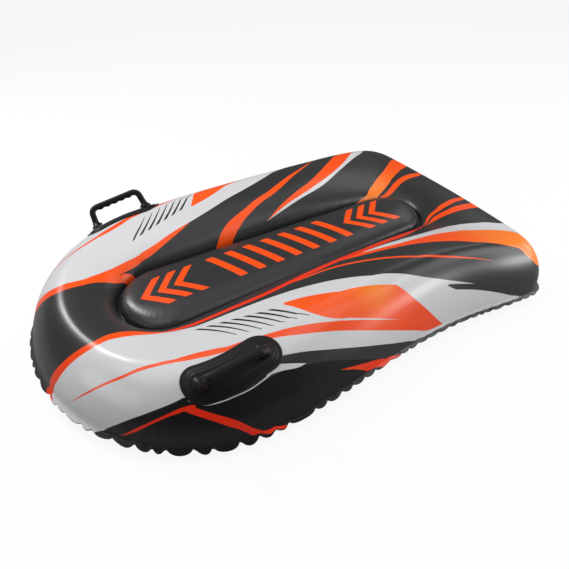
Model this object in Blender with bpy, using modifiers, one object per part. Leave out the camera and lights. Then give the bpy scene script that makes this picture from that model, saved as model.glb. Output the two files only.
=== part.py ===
"""Inflatable snow sled: a welded two-sheet hull with a lying pad, two moulded
grips on the shoulders and a screw-in valve in the tail wall.

Metres, +Z up. The nose points to -Y, the tail to +Y, and +X is the rider's
left when lying head first. The origin is on the ground under the middle.
"""
import math

import bpy
import bmesh
import numpy as np
from mathutils import Matrix, Vector

# Hull outline, seen from above
LENGTH = 1.200
NOSE_LENGTH = 0.360
HALF_WIDTH_SHOULDER = 0.410
HALF_WIDTH_WAIST = 0.358
HALF_WIDTH_TAIL = 0.374
WAIST_Y = 0.290
CORNER_RADIUS = 0.058
TAIL_BOW = 0.010
FLANGE_WIDTH = 0.014

# Lying pad, seen from above: the closed weld line that bounds it
PAD_FRONT_Y = -0.394
PAD_REAR_Y = 0.433
PAD_HALF_WIDTH_FRONT = 0.1130
PAD_HALF_WIDTH_REAR = 0.0920
PAD_FRONT_ROUND = 0.100
PAD_REAR_ROUND = 0.080
LAND_WIDTH = 0.006
SPINE_MARGIN = 0.060

# Heights above the ground
SEAM_Z = 0.030
CREST_KNOTS = ((0.0, 0.144), (0.25, 0.156), (0.60, 0.188), (1.0, 0.153))
LAND_Z_FRONT = 0.085
LAND_Z_REAR = 0.116
PAD_RISE = 0.034
CREST_SHARE_NOSE = 0.505
CREST_SHARE_TAIL = 0.310
OUTER_FULLNESS = 1.75
INNER_FULLNESS = 2.10
PAD_FULLNESS = 2.5
TAIL_WALL_BULGE = 0.010
TAIL_CHANGE_U = 1.7
BILGE_WIDTH = 0.080

# Sheet gauges, and the gap that touching pieces keep
TOP_GAUGE = 0.0008
BASE_GAUGE = 0.0012
WEB_GAUGE = 0.0008
GAP = 0.0003
WELD_EDGE = 0.5 * GAP / LAND_WIDTH
NEAR_ZERO = 1e-9
MERGE = 0.00001

# Grip pads, in lengths along and across the sheet
HANDLE_U = 0.955
HANDLE_T = 1.70
HANDLE_TURN = 8.0
GRIP_PAD_LENGTH = 0.208
GRIP_PAD_WIDTH = 0.079
GRIP_PAD_TOP = 0.0055
GRIP_PAD_RINGS = ((0.0, GAP), (0.0, 0.0017), (0.0010, 0.0024), (0.0085, 0.0024), (0.0100, 0.0040),
                  (0.0160, 0.0040), (0.0175, GRIP_PAD_TOP), (0.0280, GRIP_PAD_TOP), (0.0370, GRIP_PAD_TOP))
GRIP_PAD_UNDER_RINGS = ((0.0370, GAP), (0.0280, GAP), (0.0185, GAP), (0.0090, GAP))
GRIP_PAD_STRAIGHT_STEPS = 10
GRIP_PAD_ROUND_STEPS = 8
POST_SPACING_ROOT = 0.140
POST_SPACING_TOP = 0.130
GRIP_HEIGHT = 0.056
GRIP_THICKNESS = 0.013
GRIP_BREADTH = 0.018
GRIP_CORNER = 0.017
COLLAR_RADIUS = 0.0145
COLLAR_HEIGHT = 0.0050
RIDGE_PITCH = 0.0195
RIDGE_DEPTH = 0.0012
RIDGE_REACH = 0.049
GRIP_SECTION_FULLNESS = 3.2

# Valve on the tail wall, in metres
VALVE_WALL_ANGLE = 30.0
VALVE_HOLE_RADIUS = 0.0143
FLAT_RADIUS = 0.032
FLAT_FADE_RADIUS = 0.058

# Valve pieces in millimetres: (radius, height over the sheet's outside) along its own axis
MM = 0.001
SEAT_PROFILE = ((11.6, -15.0), (14.0, -15.0), (14.0, 0.3), (25.0, 0.3), (25.0, 1.0), (24.2, 1.6),
                (16.6, 1.6), (15.8, 2.4), (11.6, 2.4))
SEAL_PROFILE = ((12.3, 2.7), (15.2, 2.7), (15.2, 3.5), (12.3, 3.5))
BODY_PROFILE = ((0.0, -12.0), (11.2, -12.0), (11.2, 3.8), (16.0, 3.8), (16.6, 4.4), (16.6, 6.2),
                (16.0, 6.8), (5.5, 6.8), (5.5, -9.0), (0.0, -9.0))
FLAP_PROFILE = ((0.0, -13.3), (6.4, -12.9), (6.4, -12.3), (0.9, -12.3), (0.9, -7.6), (1.7, -7.6),
                (1.7, -6.9), (0.0, -6.9))
CAP_PROFILE = ((0.0, 2.2), (4.3, 2.2), (5.1, 7.1), (9.5, 7.1), (9.5, 8.9), (8.8, 9.6), (0.0, 9.6))
SPIDER_MIDDLE = -10.5
SPIDER_CUT_DEPTH = 8.0
STEM_HOLE_RADIUS = 1.2
PORT_RADIUS = 1.3
PORT_CIRCLE = 3.5
PORT_COUNT = 4
NOTCH_RADIUS = 1.0
NOTCH_CIRCLE = 17.1
NOTCH_HEIGHT = 5.3
NOTCH_DEPTH = 6.0
NOTCH_COUNT = 16
LEDGE_SIZE = (1.8, 7.0, 3.0)
LEDGE_PLACE = (15.4, 0.0, 6.2)
TAB_SIZE = (5.0, 6.0, 1.0)
TAB_PLACE = (10.8, 0.0, 7.9)
LIP_SIZE = (3.0, 6.0, 1.2)
LIP_PLACE = (-10.2, 0.0, 8.2)
CAP_HINGE_PLACE = (13.3, 0.0, 8.0)
CAP_ROLL_RADIUS = 0.9
CAP_ROLL_LENGTH = 6.0

# Vents in the tension web
VENT_RADIUS = 0.015
VENT_Z = 0.052
VENT_SPACING = 0.120
VENT_COUNT = 5


def clear_scene():
    for item in list(bpy.data.objects):
        bpy.data.objects.remove(item, do_unlink=True)


def collection(name):
    group = bpy.data.collections.new(name)
    bpy.context.scene.collection.children.link(group)
    return group


def material(name, colour, roughness, metallic=0.0, alpha=1.0):
    made = bpy.data.materials.new(name)
    made.use_nodes = True
    shader = made.node_tree.nodes["Principled BSDF"]
    shader.inputs["Base Color"].default_value = (*colour, 1.0)
    shader.inputs["Roughness"].default_value = roughness
    shader.inputs["Metallic"].default_value = metallic
    shader.inputs["Alpha"].default_value = alpha
    made.diffuse_color = (*colour, alpha)
    return made


# Hull shape. u runs along half the outline: 0 to 1 round the nose, 1 to 2 down
# the side, 2 to 3 round the tail corner, 3 to 4 along the tail to the middle.

def ease(share):
    return 0.5 - 0.5 * np.cos(np.pi * np.clip(share, 0.0, 1.0))


def tail_corner_y():
    return LENGTH / 2 - TAIL_BOW - CORNER_RADIUS


def side_half_width(y):
    shoulder_y = -LENGTH / 2 + NOSE_LENGTH
    drawn_in = (HALF_WIDTH_SHOULDER - HALF_WIDTH_WAIST) * ease((y - shoulder_y) / (WAIST_Y - shoulder_y))
    flared = (HALF_WIDTH_TAIL - HALF_WIDTH_WAIST) * ease((y - WAIST_Y) / (tail_corner_y() - WAIST_Y))
    return HALF_WIDTH_SHOULDER - drawn_in + flared


def outline(u):
    """Half outline of the flange's outer edge: ellipse, eased side, round corner, bowed tail."""
    u = np.asarray(u, float)
    turn = np.clip(u, 0, 1) * np.pi / 2
    nose = (HALF_WIDTH_SHOULDER * np.sin(turn), -LENGTH / 2 + NOSE_LENGTH * (1 - np.cos(turn)))
    start = -LENGTH / 2 + NOSE_LENGTH
    side_y = start + np.clip(u - 1, 0, 1) * (tail_corner_y() - start)
    side = (side_half_width(side_y), side_y)
    turn = np.clip(u - 2, 0, 1) * np.pi / 2
    inner_x = HALF_WIDTH_TAIL - CORNER_RADIUS
    corner = (inner_x + CORNER_RADIUS * np.cos(turn), tail_corner_y() + CORNER_RADIUS * np.sin(turn))
    left = 1 - np.clip(u - 3, 0, 1)
    tail = (inner_x * left, LENGTH / 2 - TAIL_BOW * left ** 2)
    pieces = [u <= 1, u <= 2, u <= 3]
    x = np.select(pieces, [nose[0], side[0], corner[0]], tail[0])
    y = np.select(pieces, [nose[1], side[1], corner[1]], tail[1])
    return x, y


def pad_outline(u):
    """Half of the pad's weld line, station by station with outline(u)."""
    u = np.asarray(u, float)
    turn = np.clip(u, 0, 1) * np.pi / 2
    front = (PAD_HALF_WIDTH_FRONT * np.sin(turn), PAD_FRONT_Y + PAD_FRONT_ROUND * (1 - np.cos(turn)))
    share = np.clip(u - 1, 0, 1)
    start = PAD_FRONT_Y + PAD_FRONT_ROUND
    end = PAD_REAR_Y - PAD_REAR_ROUND
    side_x = PAD_HALF_WIDTH_FRONT + (PAD_HALF_WIDTH_REAR - PAD_HALF_WIDTH_FRONT) * share
    side = (side_x, start + (end - start) * share)
    turn = (0.6 * np.clip(u - 2, 0, 1) + 0.4 * np.clip(u - 3, 0, 1)) * np.pi / 2
    rear = (PAD_HALF_WIDTH_REAR * np.cos(turn), end + PAD_REAR_ROUND * np.sin(turn))
    x = np.select([u <= 1, u <= 2], [front[0], side[0]], rear[0])
    y = np.select([u <= 1, u <= 2], [front[1], side[1]], rear[1])
    return x, y


def crest_height(along):
    """Cubic through the four knots; along is 0 at the nose and 1 at the tail."""
    places = np.array([knot[0] for knot in CREST_KNOTS])
    heights = np.array([knot[1] for knot in CREST_KNOTS])
    return np.polyval(np.polyfit(places, heights, 3), along)


def blend_power(angle, fullness):
    """Sine and cosine raised so that the quarter arc follows a superellipse."""
    power = 2.0 / fullness
    sine = np.maximum(np.sin(angle), 0.0) ** power
    cosine = np.maximum(np.cos(angle), 0.0) ** power
    return sine, cosine


def sheet_point(u, t):
    """Outside of the top sheet. t runs inwards: 0 to 1 over the flange, 1 to 2 up the
    wall to the crest, 2 to 3 down to the weld land, 3 to 4 over it, 4 to 5 over the pad."""
    u, t = np.broadcast_arrays(np.asarray(u, float), np.asarray(t, float))
    edge_x, edge_y = outline(u)
    weld_x, weld_y = pad_outline(u)
    run_x, run_y = weld_x - edge_x, weld_y - edge_y
    reach = np.hypot(run_x, run_y)
    along = (edge_y + LENGTH / 2) / LENGTH
    crest = crest_height(along)
    land = LAND_Z_FRONT + (LAND_Z_REAR - LAND_Z_FRONT) * along
    flange_z = SEAM_Z + GAP / 2 + TOP_GAUGE
    crest_in = (CREST_SHARE_NOSE + (CREST_SHARE_TAIL - CREST_SHARE_NOSE) * along) * reach
    land_in = reach - LAND_WIDTH / 2
    wall_angle = np.clip(t - 1, 0, 1) * np.pi / 2
    rise, fall = blend_power(wall_angle, OUTER_FULLNESS)
    bulge = TAIL_WALL_BULGE * ease(u - TAIL_CHANGE_U) * np.sin(2 * wall_angle)
    run_down, drop = blend_power(np.clip(t - 2, 0, 1) * np.pi / 2, INNER_FULLNESS)
    swell, shrink = blend_power(np.clip(t - 4, 0, 1) * np.pi / 2, PAD_FULLNESS)
    pieces = [t <= 1, t <= 2, t <= 3]
    inward = np.select(
        pieces,
        [FLANGE_WIDTH * t,
         FLANGE_WIDTH + (crest_in - FLANGE_WIDTH) * (1 - fall) - bulge,
         crest_in + (land_in - crest_in) * run_down],
        land_in + LAND_WIDTH * np.clip(t - 3, 0, 1))
    z = np.select(
        pieces,
        [np.full_like(t, flange_z), flange_z + (crest - flange_z) * rise, land + (crest - land) * drop],
        land + PAD_RISE * swell)
    x = edge_x + run_x / reach * inward
    y = edge_y + run_y / reach * inward
    spine_y = PAD_FRONT_Y + SPINE_MARGIN + (PAD_REAR_Y - PAD_FRONT_Y - 2 * SPINE_MARGIN) * (
        (weld_y - PAD_FRONT_Y) / (PAD_REAR_Y - PAD_FRONT_Y))
    on_pad = t > 4
    x = np.where(on_pad, x * shrink, x)
    y = np.where(on_pad, spine_y + (y - spine_y) * shrink, y)
    x = np.where(np.abs(x) < NEAR_ZERO, 0.0, x)
    return np.stack([x, y, z], axis=-1)


def valve_frame():
    """Foot, outward axis and up-wall direction of the valve on the middle of the tail wall."""
    t = 1 + VALVE_WALL_ANGLE / 90
    foot = sheet_point(4.0, t)
    up_wall = sheet_point(4.0, t + 0.02) - sheet_point(4.0, t - 0.02)
    up_wall = up_wall / np.linalg.norm(up_wall)
    axis = np.cross([-1.0, 0.0, 0.0], up_wall)
    return foot, axis, up_wall


def flatten_for_valve(points):
    """Presses the tail wall flat round the valve, fading out to the free shape."""
    foot, axis, _ = valve_frame()
    offset = points - foot
    height = offset @ axis
    radius = np.linalg.norm(offset - height[..., None] * axis, axis=-1)
    fade = 1 - ease((radius - FLAT_RADIUS) / (FLAT_FADE_RADIUS - FLAT_RADIUS))
    fade = np.where(np.abs(height) < 0.05, fade, 0.0)
    return points - (height * fade)[..., None] * axis


def base_point(u, t):
    """Outside of the base sheet: 0 to 1 under the flange, 1 to 2 down the bilge, 2 to 3 flat."""
    u, t = np.broadcast_arrays(np.asarray(u, float), np.asarray(t, float))
    edge_x, edge_y = outline(u)
    weld_x, weld_y = pad_outline(u)
    run_x, run_y = weld_x - edge_x, weld_y - edge_y
    reach = np.hypot(run_x, run_y)
    flange_z = SEAM_Z - GAP / 2 - BASE_GAUGE
    turn = np.clip(t - 1, 0, 1) * np.pi / 2
    inward = np.where(t <= 1, FLANGE_WIDTH * t, FLANGE_WIDTH + BILGE_WIDTH * (1 - np.cos(turn)))
    z = np.where(t <= 1, flange_z, flange_z * (1 - np.sin(turn)))
    x = edge_x + run_x / reach * inward
    y = edge_y + run_y / reach * inward
    over_flat = np.clip(t - 2, 0, 1)
    x = x * (1 - over_flat)
    y = y + (weld_y - y) * over_flat
    x = np.where(np.abs(x) < NEAR_ZERO, 0.0, x)
    return np.stack([x, y, z], axis=-1)


# Mesh helpers

def mesh_object(name, points, faces, look, group):
    mesh = bpy.data.meshes.new(name)
    mesh.from_pydata([tuple(map(float, point)) for point in points], [], faces)
    mesh.validate()
    item = bpy.data.objects.new(name, mesh)
    mesh.materials.append(look)
    group.objects.link(item)
    return item


def grid_faces(rows, columns, flip=False, closed=False):
    faces = []
    last = columns if closed else columns - 1
    for i in range(rows - 1):
        for j in range(last):
            k = (j + 1) % columns
            face = (i * columns + j, (i + 1) * columns + j, (i + 1) * columns + k, i * columns + k)
            faces.append(face[::-1] if flip else face)
    return faces


def smooth(item, angle=40.0):
    item.data.shade_smooth()
    item.data.set_sharp_from_angle(angle=math.radians(angle))


def mirror_half(item):
    step = item.modifiers.new("Other half", "MIRROR")
    step.use_axis = (True, False, False)
    step.use_mirror_merge = True
    step.merge_threshold = 0.0001
    return step


def give_gauge(item, gauge, offset):
    step = item.modifiers.new("Gauge", "SOLIDIFY")
    step.thickness = gauge
    step.offset = offset
    step.use_even_offset = True
    step.use_rim = True
    return step


def boolean(item, tool, operation):
    step = item.modifiers.new(operation.title(), "BOOLEAN")
    step.operation = operation
    step.solver = "EXACT"
    step.object = tool
    return step


def apply_modifiers(item):
    graph = bpy.context.evaluated_depsgraph_get()
    mesh = bpy.data.meshes.new_from_object(item.evaluated_get(graph))
    item.modifiers.clear()
    item.data = mesh


def face_outwards(item):
    work = bmesh.new()
    work.from_mesh(item.data)
    bmesh.ops.remove_doubles(work, verts=work.verts, dist=MERGE)
    bmesh.ops.recalc_face_normals(work, faces=work.faces)
    work.to_mesh(item.data)
    work.free()


def turned(name, profile, look, group, steps=24):
    """Turns (radius, height) points about Z: a chain if it starts on the axis, else a closed loop."""
    mesh = bpy.data.meshes.new(name)
    points = [(radius, 0.0, height) for radius, height in profile]
    edges = [(k, k + 1) for k in range(len(points) - 1)]
    if profile[0][0] > 0:
        edges.append((len(points) - 1, 0))
    mesh.from_pydata(points, edges, [])
    item = bpy.data.objects.new(name, mesh)
    mesh.materials.append(look)
    group.objects.link(item)
    turn = item.modifiers.new("Turn", "SCREW")
    turn.axis = "Z"
    turn.steps = steps
    turn.render_steps = steps
    turn.use_merge_vertices = True
    turn.merge_threshold = MERGE
    apply_modifiers(item)
    face_outwards(item)
    return item


def cylinder(name, radius, depth, matrix, group, look=None, sides=20):
    mesh = bpy.data.meshes.new(name)
    work = bmesh.new()
    bmesh.ops.create_cone(work, cap_ends=True, segments=sides, radius1=radius, radius2=radius, depth=depth)
    work.to_mesh(mesh)
    work.free()
    mesh.transform(matrix)
    item = bpy.data.objects.new(name, mesh)
    if look:
        mesh.materials.append(look)
    group.objects.link(item)
    return item


def block(name, size, matrix, group, look=None):
    mesh = bpy.data.meshes.new(name)
    work = bmesh.new()
    bmesh.ops.create_cube(work, size=1.0)
    work.to_mesh(mesh)
    work.free()
    mesh.transform(matrix @ Matrix.Diagonal((*size, 1.0)))
    item = bpy.data.objects.new(name, mesh)
    if look:
        mesh.materials.append(look)
    group.objects.link(item)
    return item


def as_cutter(item):
    item.hide_render = True
    item.display_type = "WIRE"
    return item


def join_tools(item, tools):
    """Unites or cuts with each tool in turn, then drops the tools."""
    for tool, operation in tools:
        boolean(item, tool, operation)
    apply_modifiers(item)
    for tool, _ in tools:
        bpy.data.objects.remove(tool, do_unlink=True)


# Hull

def hull_stations():
    """Stations along half the outline; the tail has close ones beside the valve."""
    nose = np.linspace(0, 1, 13)[:-1]
    side = np.linspace(1, 2, 14)[:-1]
    corner = np.linspace(2, 3, 6)[:-1]
    tail = np.array([3.0, 3.28, 3.52, 3.70, 3.82, 3.91, 4.0])
    return np.concatenate([nose, side, corner, tail])


def make_top_sheet(look, group, cutters):
    """The printed sheet from the outer edge to the middle of the groove's weld."""
    u = hull_stations()
    t = np.concatenate([[0.0], np.linspace(1, 2, 7), np.linspace(2, 3, 6)[1:], [3.5 - WELD_EDGE]])
    points = flatten_for_valve(sheet_point(u[:, None], t[None, :]))
    points[..., 0] = np.where(np.abs(points[..., 0]) < NEAR_ZERO, 0.0, points[..., 0])
    faces = grid_faces(len(u), len(t))
    sheet = mesh_object("top_sheet", points.reshape(-1, 3), faces, look, group)
    mirror_half(sheet)
    give_gauge(sheet, TOP_GAUGE, -1.0)
    hole = cylinder("valve_hole", VALVE_HOLE_RADIUS, 0.03, valve_matrix(), cutters, sides=24)
    boolean(sheet, as_cutter(hole), "DIFFERENCE")
    smooth(sheet)
    return sheet


def make_pad_sheet(look, group):
    """The crowned skin of the lying pad, from the middle of the groove's weld inwards."""
    u = hull_stations()
    t = np.concatenate([[3.5 + WELD_EDGE], np.linspace(4, 5, 6)])
    points = sheet_point(u[:, None], t[None, :])
    faces = grid_faces(len(u), len(t))
    sheet = mesh_object("pad_sheet", points.reshape(-1, 3), faces, look, group)
    mirror_half(sheet)
    give_gauge(sheet, TOP_GAUGE, -1.0)
    smooth(sheet)
    return sheet


def make_base_sheet(look, group):
    u = hull_stations()
    t = np.concatenate([[0.0], np.linspace(1, 2, 5), [3.0]])
    points = base_point(u[:, None], t[None, :])
    faces = grid_faces(len(u), len(t), flip=True)
    sheet = mesh_object("base_sheet", points.reshape(-1, 3), faces, look, group)
    mirror_half(sheet)
    give_gauge(sheet, BASE_GAUGE, -1.0)
    smooth(sheet)
    return sheet


def make_tension_web(look, group, cutters):
    """The strip that ties the pad's weld line down to the base, with vents for the air."""
    u = hull_stations()
    x, y = pad_outline(u)
    along = (outline(u)[1] + LENGTH / 2) / LENGTH
    top = LAND_Z_FRONT + (LAND_Z_REAR - LAND_Z_FRONT) * along - TOP_GAUGE - 1.5 * GAP
    bottom = np.full_like(top, BASE_GAUGE + 1.5 * GAP)
    x = np.where(np.abs(x) < NEAR_ZERO, 0.0, x)
    points = np.stack([np.stack([x, y, bottom], -1), np.stack([x, y, top], -1)], axis=1)
    faces = grid_faces(len(u), 2)
    web = mesh_object("tension_web", points.reshape(-1, 3), faces, look, group)
    mirror_half(web)
    give_gauge(web, WEB_GAUGE, 0.0)
    middle = (PAD_FRONT_Y + PAD_REAR_Y) / 2
    for k in range(VENT_COUNT):
        y_vent = middle + (k - (VENT_COUNT - 1) / 2) * VENT_SPACING
        place = Matrix.Translation((0, y_vent, VENT_Z)) @ Matrix.Rotation(math.pi / 2, 4, "Y")
        vent = cylinder(f"vent_{k + 1}", VENT_RADIUS, 0.4, place, cutters, sides=16)
        boolean(web, as_cutter(vent), "DIFFERENCE")
    return web


# Grips

def handle_map(along, across, height):
    """Places lengths along and across the sheet, from the grip pad's middle, at a height over it."""
    along, across, height = np.broadcast_arrays(along, across, height)
    shape = along.shape
    turn = math.radians(HANDLE_TURN)
    along, across = (along * math.cos(turn) - across * math.sin(turn),
                     along * math.sin(turn) + across * math.cos(turn))
    along, across, height = along.ravel(), across.ravel(), height.ravel()
    u_line = np.linspace(HANDLE_U - 0.55, HANDLE_U + 0.55, 400)
    line = sheet_point(u_line, HANDLE_T)
    run = np.concatenate([[0], np.cumsum(np.linalg.norm(np.diff(line, axis=0), axis=1))])
    run = run - np.interp(HANDLE_U, u_line, run)
    u = np.interp(along, run, u_line)
    t_line = np.linspace(1.02, 2.9, 160)
    strips = sheet_point(u[:, None], t_line[None, :])
    steps = np.linalg.norm(np.diff(strips, axis=1), axis=2)
    climb = np.concatenate([np.zeros((len(u), 1)), np.cumsum(steps, axis=1)], axis=1)
    t = np.empty_like(u)
    for k in range(len(u)):
        start = np.interp(HANDLE_T, t_line, climb[k])
        t[k] = np.interp(across[k] + start, climb[k], t_line)
    points = sheet_point(u, t)
    by_u = sheet_point(u + 1e-3, t) - sheet_point(u - 1e-3, t)
    by_t = sheet_point(u, t + 1e-3) - sheet_point(u, t - 1e-3)
    normal = np.cross(by_u, by_t)
    normal = normal / np.linalg.norm(normal, axis=1)[:, None]
    return (points + normal * height[:, None]).reshape(*shape, 3)


def handle_frame():
    """Middle of the grip pad on the sheet, direction along it, direction across, outward normal."""
    middle = handle_map(0.0, 0.0, 0.0).reshape(3)
    normal = handle_map(0.0, 0.0, 0.001).reshape(3) - middle
    normal = normal / np.linalg.norm(normal)
    ends = handle_map(np.array([-1, 1]) * POST_SPACING_ROOT / 2, 0.0, 0.0)
    along = ends[1] - ends[0]
    along = along - normal * (along @ normal)
    along = along / np.linalg.norm(along)
    return middle, along, np.cross(normal, along), normal


def pill(inset):
    """Outline of the grip pad, anticlockwise, with matching points on its two long sides."""
    radius = GRIP_PAD_WIDTH / 2 - inset
    half = (GRIP_PAD_LENGTH - GRIP_PAD_WIDTH) / 2
    rear = np.linspace(-np.pi / 2, np.pi / 2, GRIP_PAD_ROUND_STEPS + 1)
    front = rear + np.pi
    top = np.linspace(half, -half, GRIP_PAD_STRAIGHT_STEPS + 1)[1:-1]
    x = np.concatenate([half + radius * np.cos(rear), top, -half + radius * np.cos(front), top[::-1]])
    y = np.concatenate([radius * np.sin(rear), np.full(len(top), radius), radius * np.sin(front),
                        np.full(len(top), -radius)])
    return x, y


def make_grip_pad(side, look, group):
    """A moulded pad with two steps, bent to the sheet it is welded on."""
    top, under = GRIP_PAD_RINGS, GRIP_PAD_UNDER_RINGS
    rings = []
    for inset, height in top + under:
        x, y = pill(inset)
        rings.append(handle_map(x, y, height))
    count = rings[0].shape[0]
    points = np.concatenate(rings)
    faces = grid_faces(len(top), count, flip=True, closed=True)
    under_start = len(top) * count
    faces += [tuple(under_start + index for index in face)
              for face in grid_faces(len(under), count, flip=True, closed=True)]
    last = under_start + (len(under) - 1) * count
    for j in range(count):
        k = (j + 1) % count
        faces.append((j, k, last + k, last + j))
    for start, turned_over in ((len(top) - 1) * count, False), (under_start, True):
        faces += strip_across(start, count, turned_over)
    if side < 0:
        points = points * np.array([-1.0, 1.0, 1.0])
        faces = [face[::-1] for face in faces]
    name = "grip_pad_left" if side > 0 else "grip_pad_right"
    item = mesh_object(name, points, faces, look, group)
    face_outwards(item)
    smooth(item, 35)
    return item


def strip_across(start, count, turned_over):
    """Closes the innermost pill with faces that join its matching points."""
    half = (count - 2) // 2
    tip = GRIP_PAD_ROUND_STEPS // 2
    upper = [(tip + 1 + k) % count for k in range(half)]
    lower = [(tip - 1 - k) % count for k in range(half)]
    far_tip = (tip + count // 2) % count
    faces = [(start + tip, start + upper[0], start + lower[0])]
    for k in range(half - 1):
        faces.append((start + upper[k], start + upper[k + 1], start + lower[k + 1], start + lower[k]))
    faces.append((start + upper[-1], start + far_tip, start + lower[-1]))
    return [face[::-1] for face in faces] if turned_over else faces


def grip_path():
    """Centre line of the grip in lengths along the pad and above the sheet, with its turning angle."""
    top = GRIP_HEIGHT - GRIP_THICKNESS / 2
    lean = math.atan2((POST_SPACING_ROOT - POST_SPACING_TOP) / 2, top)
    turn = math.pi / 2 - lean
    corner_x = POST_SPACING_TOP / 2 - GRIP_CORNER
    arc = np.linspace(0, turn, 6)
    arc_x = corner_x + GRIP_CORNER * np.sin(arc)
    arc_z = top - GRIP_CORNER * (1 - np.cos(arc))
    post_length = (arc_z[-1] - root_height() - COLLAR_HEIGHT / 2) / math.sin(turn)
    post = np.linspace(0, post_length, 4)[1:]
    post_x = arc_x[-1] + post * math.cos(turn)
    post_z = arc_z[-1] - post * math.sin(turn)
    bar = np.linspace(-corner_x, corner_x, 37)[1:-1]
    right_x = np.concatenate([arc_x, post_x])
    right_z = np.concatenate([arc_z, post_z])
    angle = np.concatenate([arc, np.full(len(post), turn)])
    x = np.concatenate([-right_x[::-1], bar, right_x])
    z = np.concatenate([right_z[::-1], np.full(len(bar), top), right_z])
    heading = np.concatenate([angle[::-1], np.zeros(len(bar)), -angle])
    return x, z, heading


def make_grip(side, look, group):
    """A hoop of rounded section with finger ridges under its bar, and a collar at each root."""
    middle, along, across, normal = handle_frame()
    x, z, heading = grip_path()
    ring = np.linspace(0, 2 * np.pi, 12, endpoint=False)
    power = 2 / GRIP_SECTION_FULLNESS
    ring_out = np.sign(np.sin(ring)) * np.abs(np.sin(ring)) ** power
    ring_side = np.sign(np.cos(ring)) * np.abs(np.cos(ring)) ** power
    inside = ring_out < -0.3
    on_bar = (np.abs(x) < RIDGE_REACH) & (heading == 0)
    ridge = np.where(on_bar, 0.5 + 0.5 * np.cos(2 * np.pi * x / RIDGE_PITCH), 0.0)
    thick = GRIP_THICKNESS / 2 * np.ones((len(x), 1)) + inside[None, :] * ridge[:, None] * RIDGE_DEPTH
    out_x, out_z = -np.sin(heading)[:, None], np.cos(heading)[:, None]
    place_x = x[:, None] + out_x * ring_out[None, :] * thick
    place_z = z[:, None] + out_z * ring_out[None, :] * thick
    place_y = ring_side[None, :] * GRIP_BREADTH / 2 * np.ones_like(place_x)
    points = (middle + place_x[..., None] * along + place_y[..., None] * across
              + place_z[..., None] * normal)
    rows, columns = len(x), len(ring)
    faces = grid_faces(rows, columns, closed=True)
    faces.append(tuple(range(columns)))
    faces.append(tuple((rows - 1) * columns + j for j in reversed(range(columns))))
    name = "grip_left" if side > 0 else "grip_right"
    item = mesh_object(name, points.reshape(-1, 3), faces, look, group)
    face_outwards(item)
    collars = []
    for end in (-1, 1):
        foot = handle_map(end * POST_SPACING_ROOT / 2, 0.0, GRIP_PAD_TOP + GAP).reshape(3)
        head = handle_map(end * POST_SPACING_ROOT / 2, 0.0, GRIP_PAD_TOP + GAP + COLLAR_HEIGHT).reshape(3)
        collars.append((collar(foot, head, look, group), "UNION"))
    join_tools(item, collars)
    if side < 0:
        item.data.transform(Matrix.Diagonal((-1, 1, 1, 1)))
        item.data.flip_normals()
    smooth(item, 40)
    return item


def root_height():
    """How high the grip pad's top lies at a post's root, measured along the middle's normal."""
    middle, _, _, normal = handle_frame()
    foot = handle_map(POST_SPACING_ROOT / 2, 0.0, GRIP_PAD_TOP).reshape(3)
    return float((foot - middle) @ normal)


def collar(foot, head, look, group):
    axis = Vector(head - foot)
    turn = axis.to_track_quat("Z", "Y").to_matrix().to_4x4()
    profile = [(0.0, 0.0), (COLLAR_RADIUS, 0.0), (COLLAR_RADIUS, COLLAR_HEIGHT * 0.6),
               (COLLAR_RADIUS * 0.86, COLLAR_HEIGHT), (0.0, COLLAR_HEIGHT)]
    item = turned("collar", profile, look, group, steps=20)
    item.data.transform(Matrix.Translation(Vector(foot)) @ turn)
    return item


# Valve. Its own axes: Z out of the sheet, X up the wall, Y along world X.

def valve_matrix():
    foot, axis, up_wall = valve_frame()
    across = np.cross(axis, up_wall)
    rows = np.stack([up_wall, across, axis], axis=1)
    return Matrix.Translation(Vector(foot)) @ Matrix(rows.tolist()).to_4x4()


def at_mm(place):
    return Matrix.Translation([MM * value for value in place])


def block_mm(name, size, place, group):
    return block(name, [MM * value for value in size], at_mm(place), group)


def turned_mm(name, profile, look, group, steps=32):
    return turned(name, [(MM * radius, MM * height) for radius, height in profile], look, group, steps)


def valve_cutters(group):
    """Stem hole and air ports through the spider, and the notches round the head."""
    def bored(name, radius, depth, place, sides):
        return cylinder(name, radius * MM, depth * MM, place, group, sides=sides), "DIFFERENCE"

    tools = [bored("stem_hole", STEM_HOLE_RADIUS, SPIDER_CUT_DEPTH, at_mm((0, 0, SPIDER_MIDDLE)), 12)]
    for k in range(PORT_COUNT):
        turn = Matrix.Rotation((k + 0.5) * 2 * math.pi / PORT_COUNT, 4, "Z")
        place = turn @ at_mm((PORT_CIRCLE, 0, SPIDER_MIDDLE))
        tools.append(bored(f"port_{k + 1}", PORT_RADIUS, SPIDER_CUT_DEPTH, place, 12))
    for k in range(NOTCH_COUNT):
        turn = Matrix.Rotation((k + 0.5) * 2 * math.pi / NOTCH_COUNT, 4, "Z")
        place = turn @ at_mm((NOTCH_CIRCLE, 0, NOTCH_HEIGHT))
        tools.append(bored(f"notch_{k + 1}", NOTCH_RADIUS, NOTCH_DEPTH, place, 8))
    return tools


def make_stopper_cap(look, group):
    cap = turned_mm("stopper_cap", CAP_PROFILE, look, group)
    tab = block_mm("tab", TAB_SIZE, TAB_PLACE, group)
    along_y = Matrix.Rotation(math.pi / 2, 4, "X")
    roll = cylinder("roll", CAP_ROLL_RADIUS * MM, CAP_ROLL_LENGTH * MM, at_mm(CAP_HINGE_PLACE) @ along_y,
                    group, sides=16)
    lip = block_mm("lip", LIP_SIZE, LIP_PLACE, group)
    join_tools(cap, [(tab, "UNION"), (roll, "UNION"), (lip, "UNION")])
    return cap


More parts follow.
